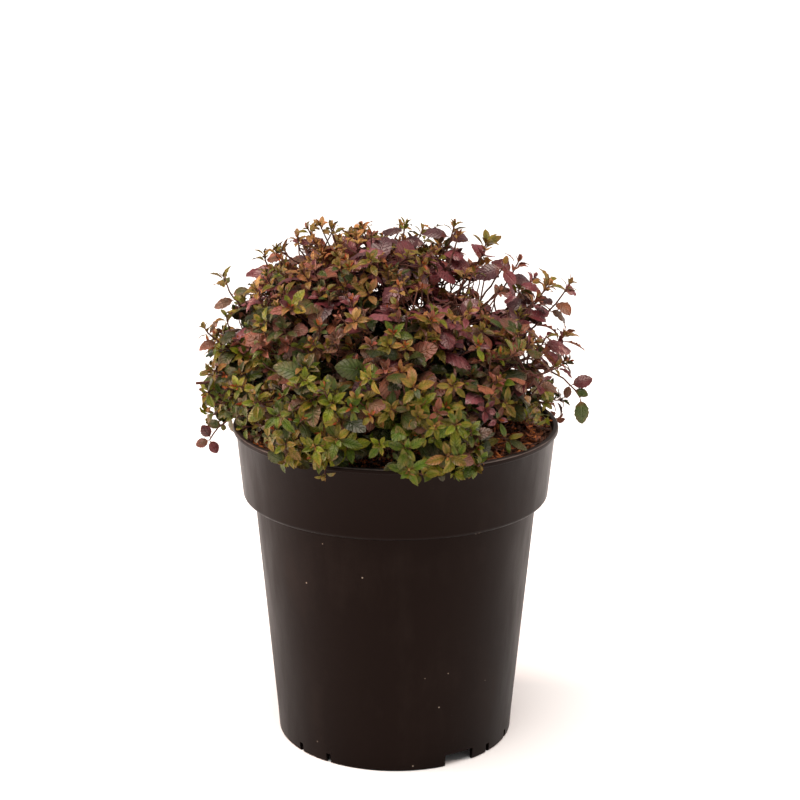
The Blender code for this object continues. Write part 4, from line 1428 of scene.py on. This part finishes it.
def chip_mesh(name, chance, count, lengths, widths):
    """Splinters and flakes of bark lying on the bed, each a rough six-sided slab."""
    points = []
    faces = []
    for _ in range(count):
        radius = (SOIL_RADIUS - CHIP_MARGIN) * sqrt(chance.uniform(0.03, 1.0))
        angle = chance.uniform(0.0, 2 * pi)
        x, y = radius * cos(angle), radius * sin(angle)
        length = chance.uniform(*lengths)
        width = chance.uniform(*widths)
        thick = chance.uniform(*CHIP_THICKNESS)
        heading = chance.uniform(0, 2 * pi)
        if radius > SOIL_RADIUS - lengths[1] / 2:
            heading = angle + pi / 2 + chance.uniform(-0.12, 0.12)
        turn = Matrix.Rotation(heading, 3, "Z")
        for waver, axis in ((16.0, "Y"), (22.0, "X")):
            turn = turn @ Matrix.Rotation(radians(chance.gauss(0.0, waver)), 3, axis)
        middle = Vector((x, y, mulch_height(x, y) + 0.3 * thick + chance.uniform(0.0, 1.2) * MM))
        start = len(points)
        for lift in (-0.5, 0.5):
            for u, v in CHIP_OUTLINE:
                jitter = chance.uniform(0.75, 1.1)
                bend = 0.12 * length * (u * u * 4 - 0.5) * 0.4
                local = Vector((u * length * jitter, v * width * jitter, lift * thick + bend))
                points.append(tuple(middle + turn @ local))
        faces.append(tuple(start + k for k in reversed(range(6))))
        faces.append(tuple(start + 6 + k for k in range(6)))
        for k in range(6):
            after = (k + 1) % 6
            faces.append((start + k, start + after, start + 6 + after, start + 6 + k))
    return mesh_of(name, points, faces, smooth=False)


def make_mulch():
    """The bed, the chips on it and thin fibres that wind over them."""
    chance = random.Random(SEED + 1)
    make_mulch_bed()
    for name, share, lengths, widths in CHIPS:
        count = int(CHIP_COUNT * share)
        data = chip_mesh(name, chance, count, [v * MM for v in lengths], [v * MM for v in widths])
        piece_from(name, data, bark_material(name), ["growing_medium"])
    fibres = Tubes(4)
    for _ in range(FIBRE_COUNT):
        radius = (SOIL_RADIUS - FIBRE_MARGIN) * sqrt(chance.random())
        angle = chance.uniform(0.0, 2 * pi)
        place = Vector((radius * cos(angle), radius * sin(angle), 0.0))
        heading = chance.uniform(0.0, 2 * pi)
        path = []
        for step in range(FIBRE_POINTS):
            heading += chance.uniform(-0.5, 0.5)
            if step:
                ahead = Vector((cos(heading), sin(heading), 0.0))
                place = place + ahead * chance.uniform(1.5, 3.8) * MM
            if hypot(place.x, place.y) > SOIL_RADIUS - FIBRE_END_MARGIN:
                break
            lift = chance.uniform(0.6, 2.0) * MM
            path.append(Vector((place.x, place.y, mulch_height(place.x, place.y) + lift)))
        if len(path) > 2:
            fibres.add(path, taper(*FIBRE_RADII, len(path)))
    data = fibres.mesh("mulch_fibres")
    piece_from("mulch_fibres", data, bark_material("mulch_fibre"), ["growing_medium"])


# Stage


def make_camera():
    data = bpy.data.cameras.new("camera")
    data.lens = CAMERA_LENS
    data.sensor_width = SENSOR_WIDTH
    camera = link(bpy.data.objects.new("camera", data))
    camera.location = CAMERA_PLACE
    tilt = Matrix.Rotation(radians(90.0 - CAMERA_PITCH), 4, "X")
    camera.rotation_euler = (tilt @ Matrix.Rotation(radians(CAMERA_ROLL), 4, "Z")).to_euler()
    bpy.context.scene.camera = camera


def make_floor():
    side = FLOOR_HALF_SIDE
    corners = [(-side, -side, 0), (side, -side, 0), (side, side, 0), (-side, side, 0)]
    data = mesh_of("floor", corners, [(0, 1, 2, 3)], smooth=False)
    floor = link(bpy.data.objects.new("floor", data))
    look = Look("floor")
    look.feed(look.surface.inputs["Base Color"], (FLOOR_GREY, FLOOR_GREY, FLOOR_GREY))
    look.feed(look.surface.inputs["Roughness"], FLOOR_ROUGHNESS)
    data.materials.append(look.material)


def make_light():
    """A white world, a wide light from above, and a panel on either side."""
    world = bpy.data.worlds.new("studio")
    bpy.context.scene.world = world
    world.use_nodes = True
    background = world.node_tree.nodes["Background"]
    background.inputs["Color"].default_value = (1.0, 1.0, 1.0, 1.0)
    background.inputs["Strength"].default_value = WORLD_STRENGTH
    data = bpy.data.lights.new("sky_panel", "SUN")
    data.energy = SKY_STRENGTH
    data.color = SKY_COLOUR
    data.angle = radians(SKY_SPREAD)
    sky = link(bpy.data.objects.new("sky_panel", data))
    sky.rotation_euler = (radians(SKY_TILTS[0]), radians(SKY_TILTS[1]), 0.0)
    for name, place, size, power in PANELS:
        data = bpy.data.lights.new(name, "AREA")
        data.shape = "RECTANGLE"
        data.size, data.size_y = size
        data.color = PANEL_COLOUR
        data.energy = power
        panel = link(bpy.data.objects.new(name, data))
        panel.location = place
        panel.rotation_euler = (PANEL_TARGET - Vector(place)).to_track_quat("-Z", "Y").to_euler()


make_camera()
make_floor()
make_light()
make_pot()
make_mulch()
make_crown_stem()
make_boughs()
make_foliage()
bpy.context.scene.view_settings.view_transform = "Standard"
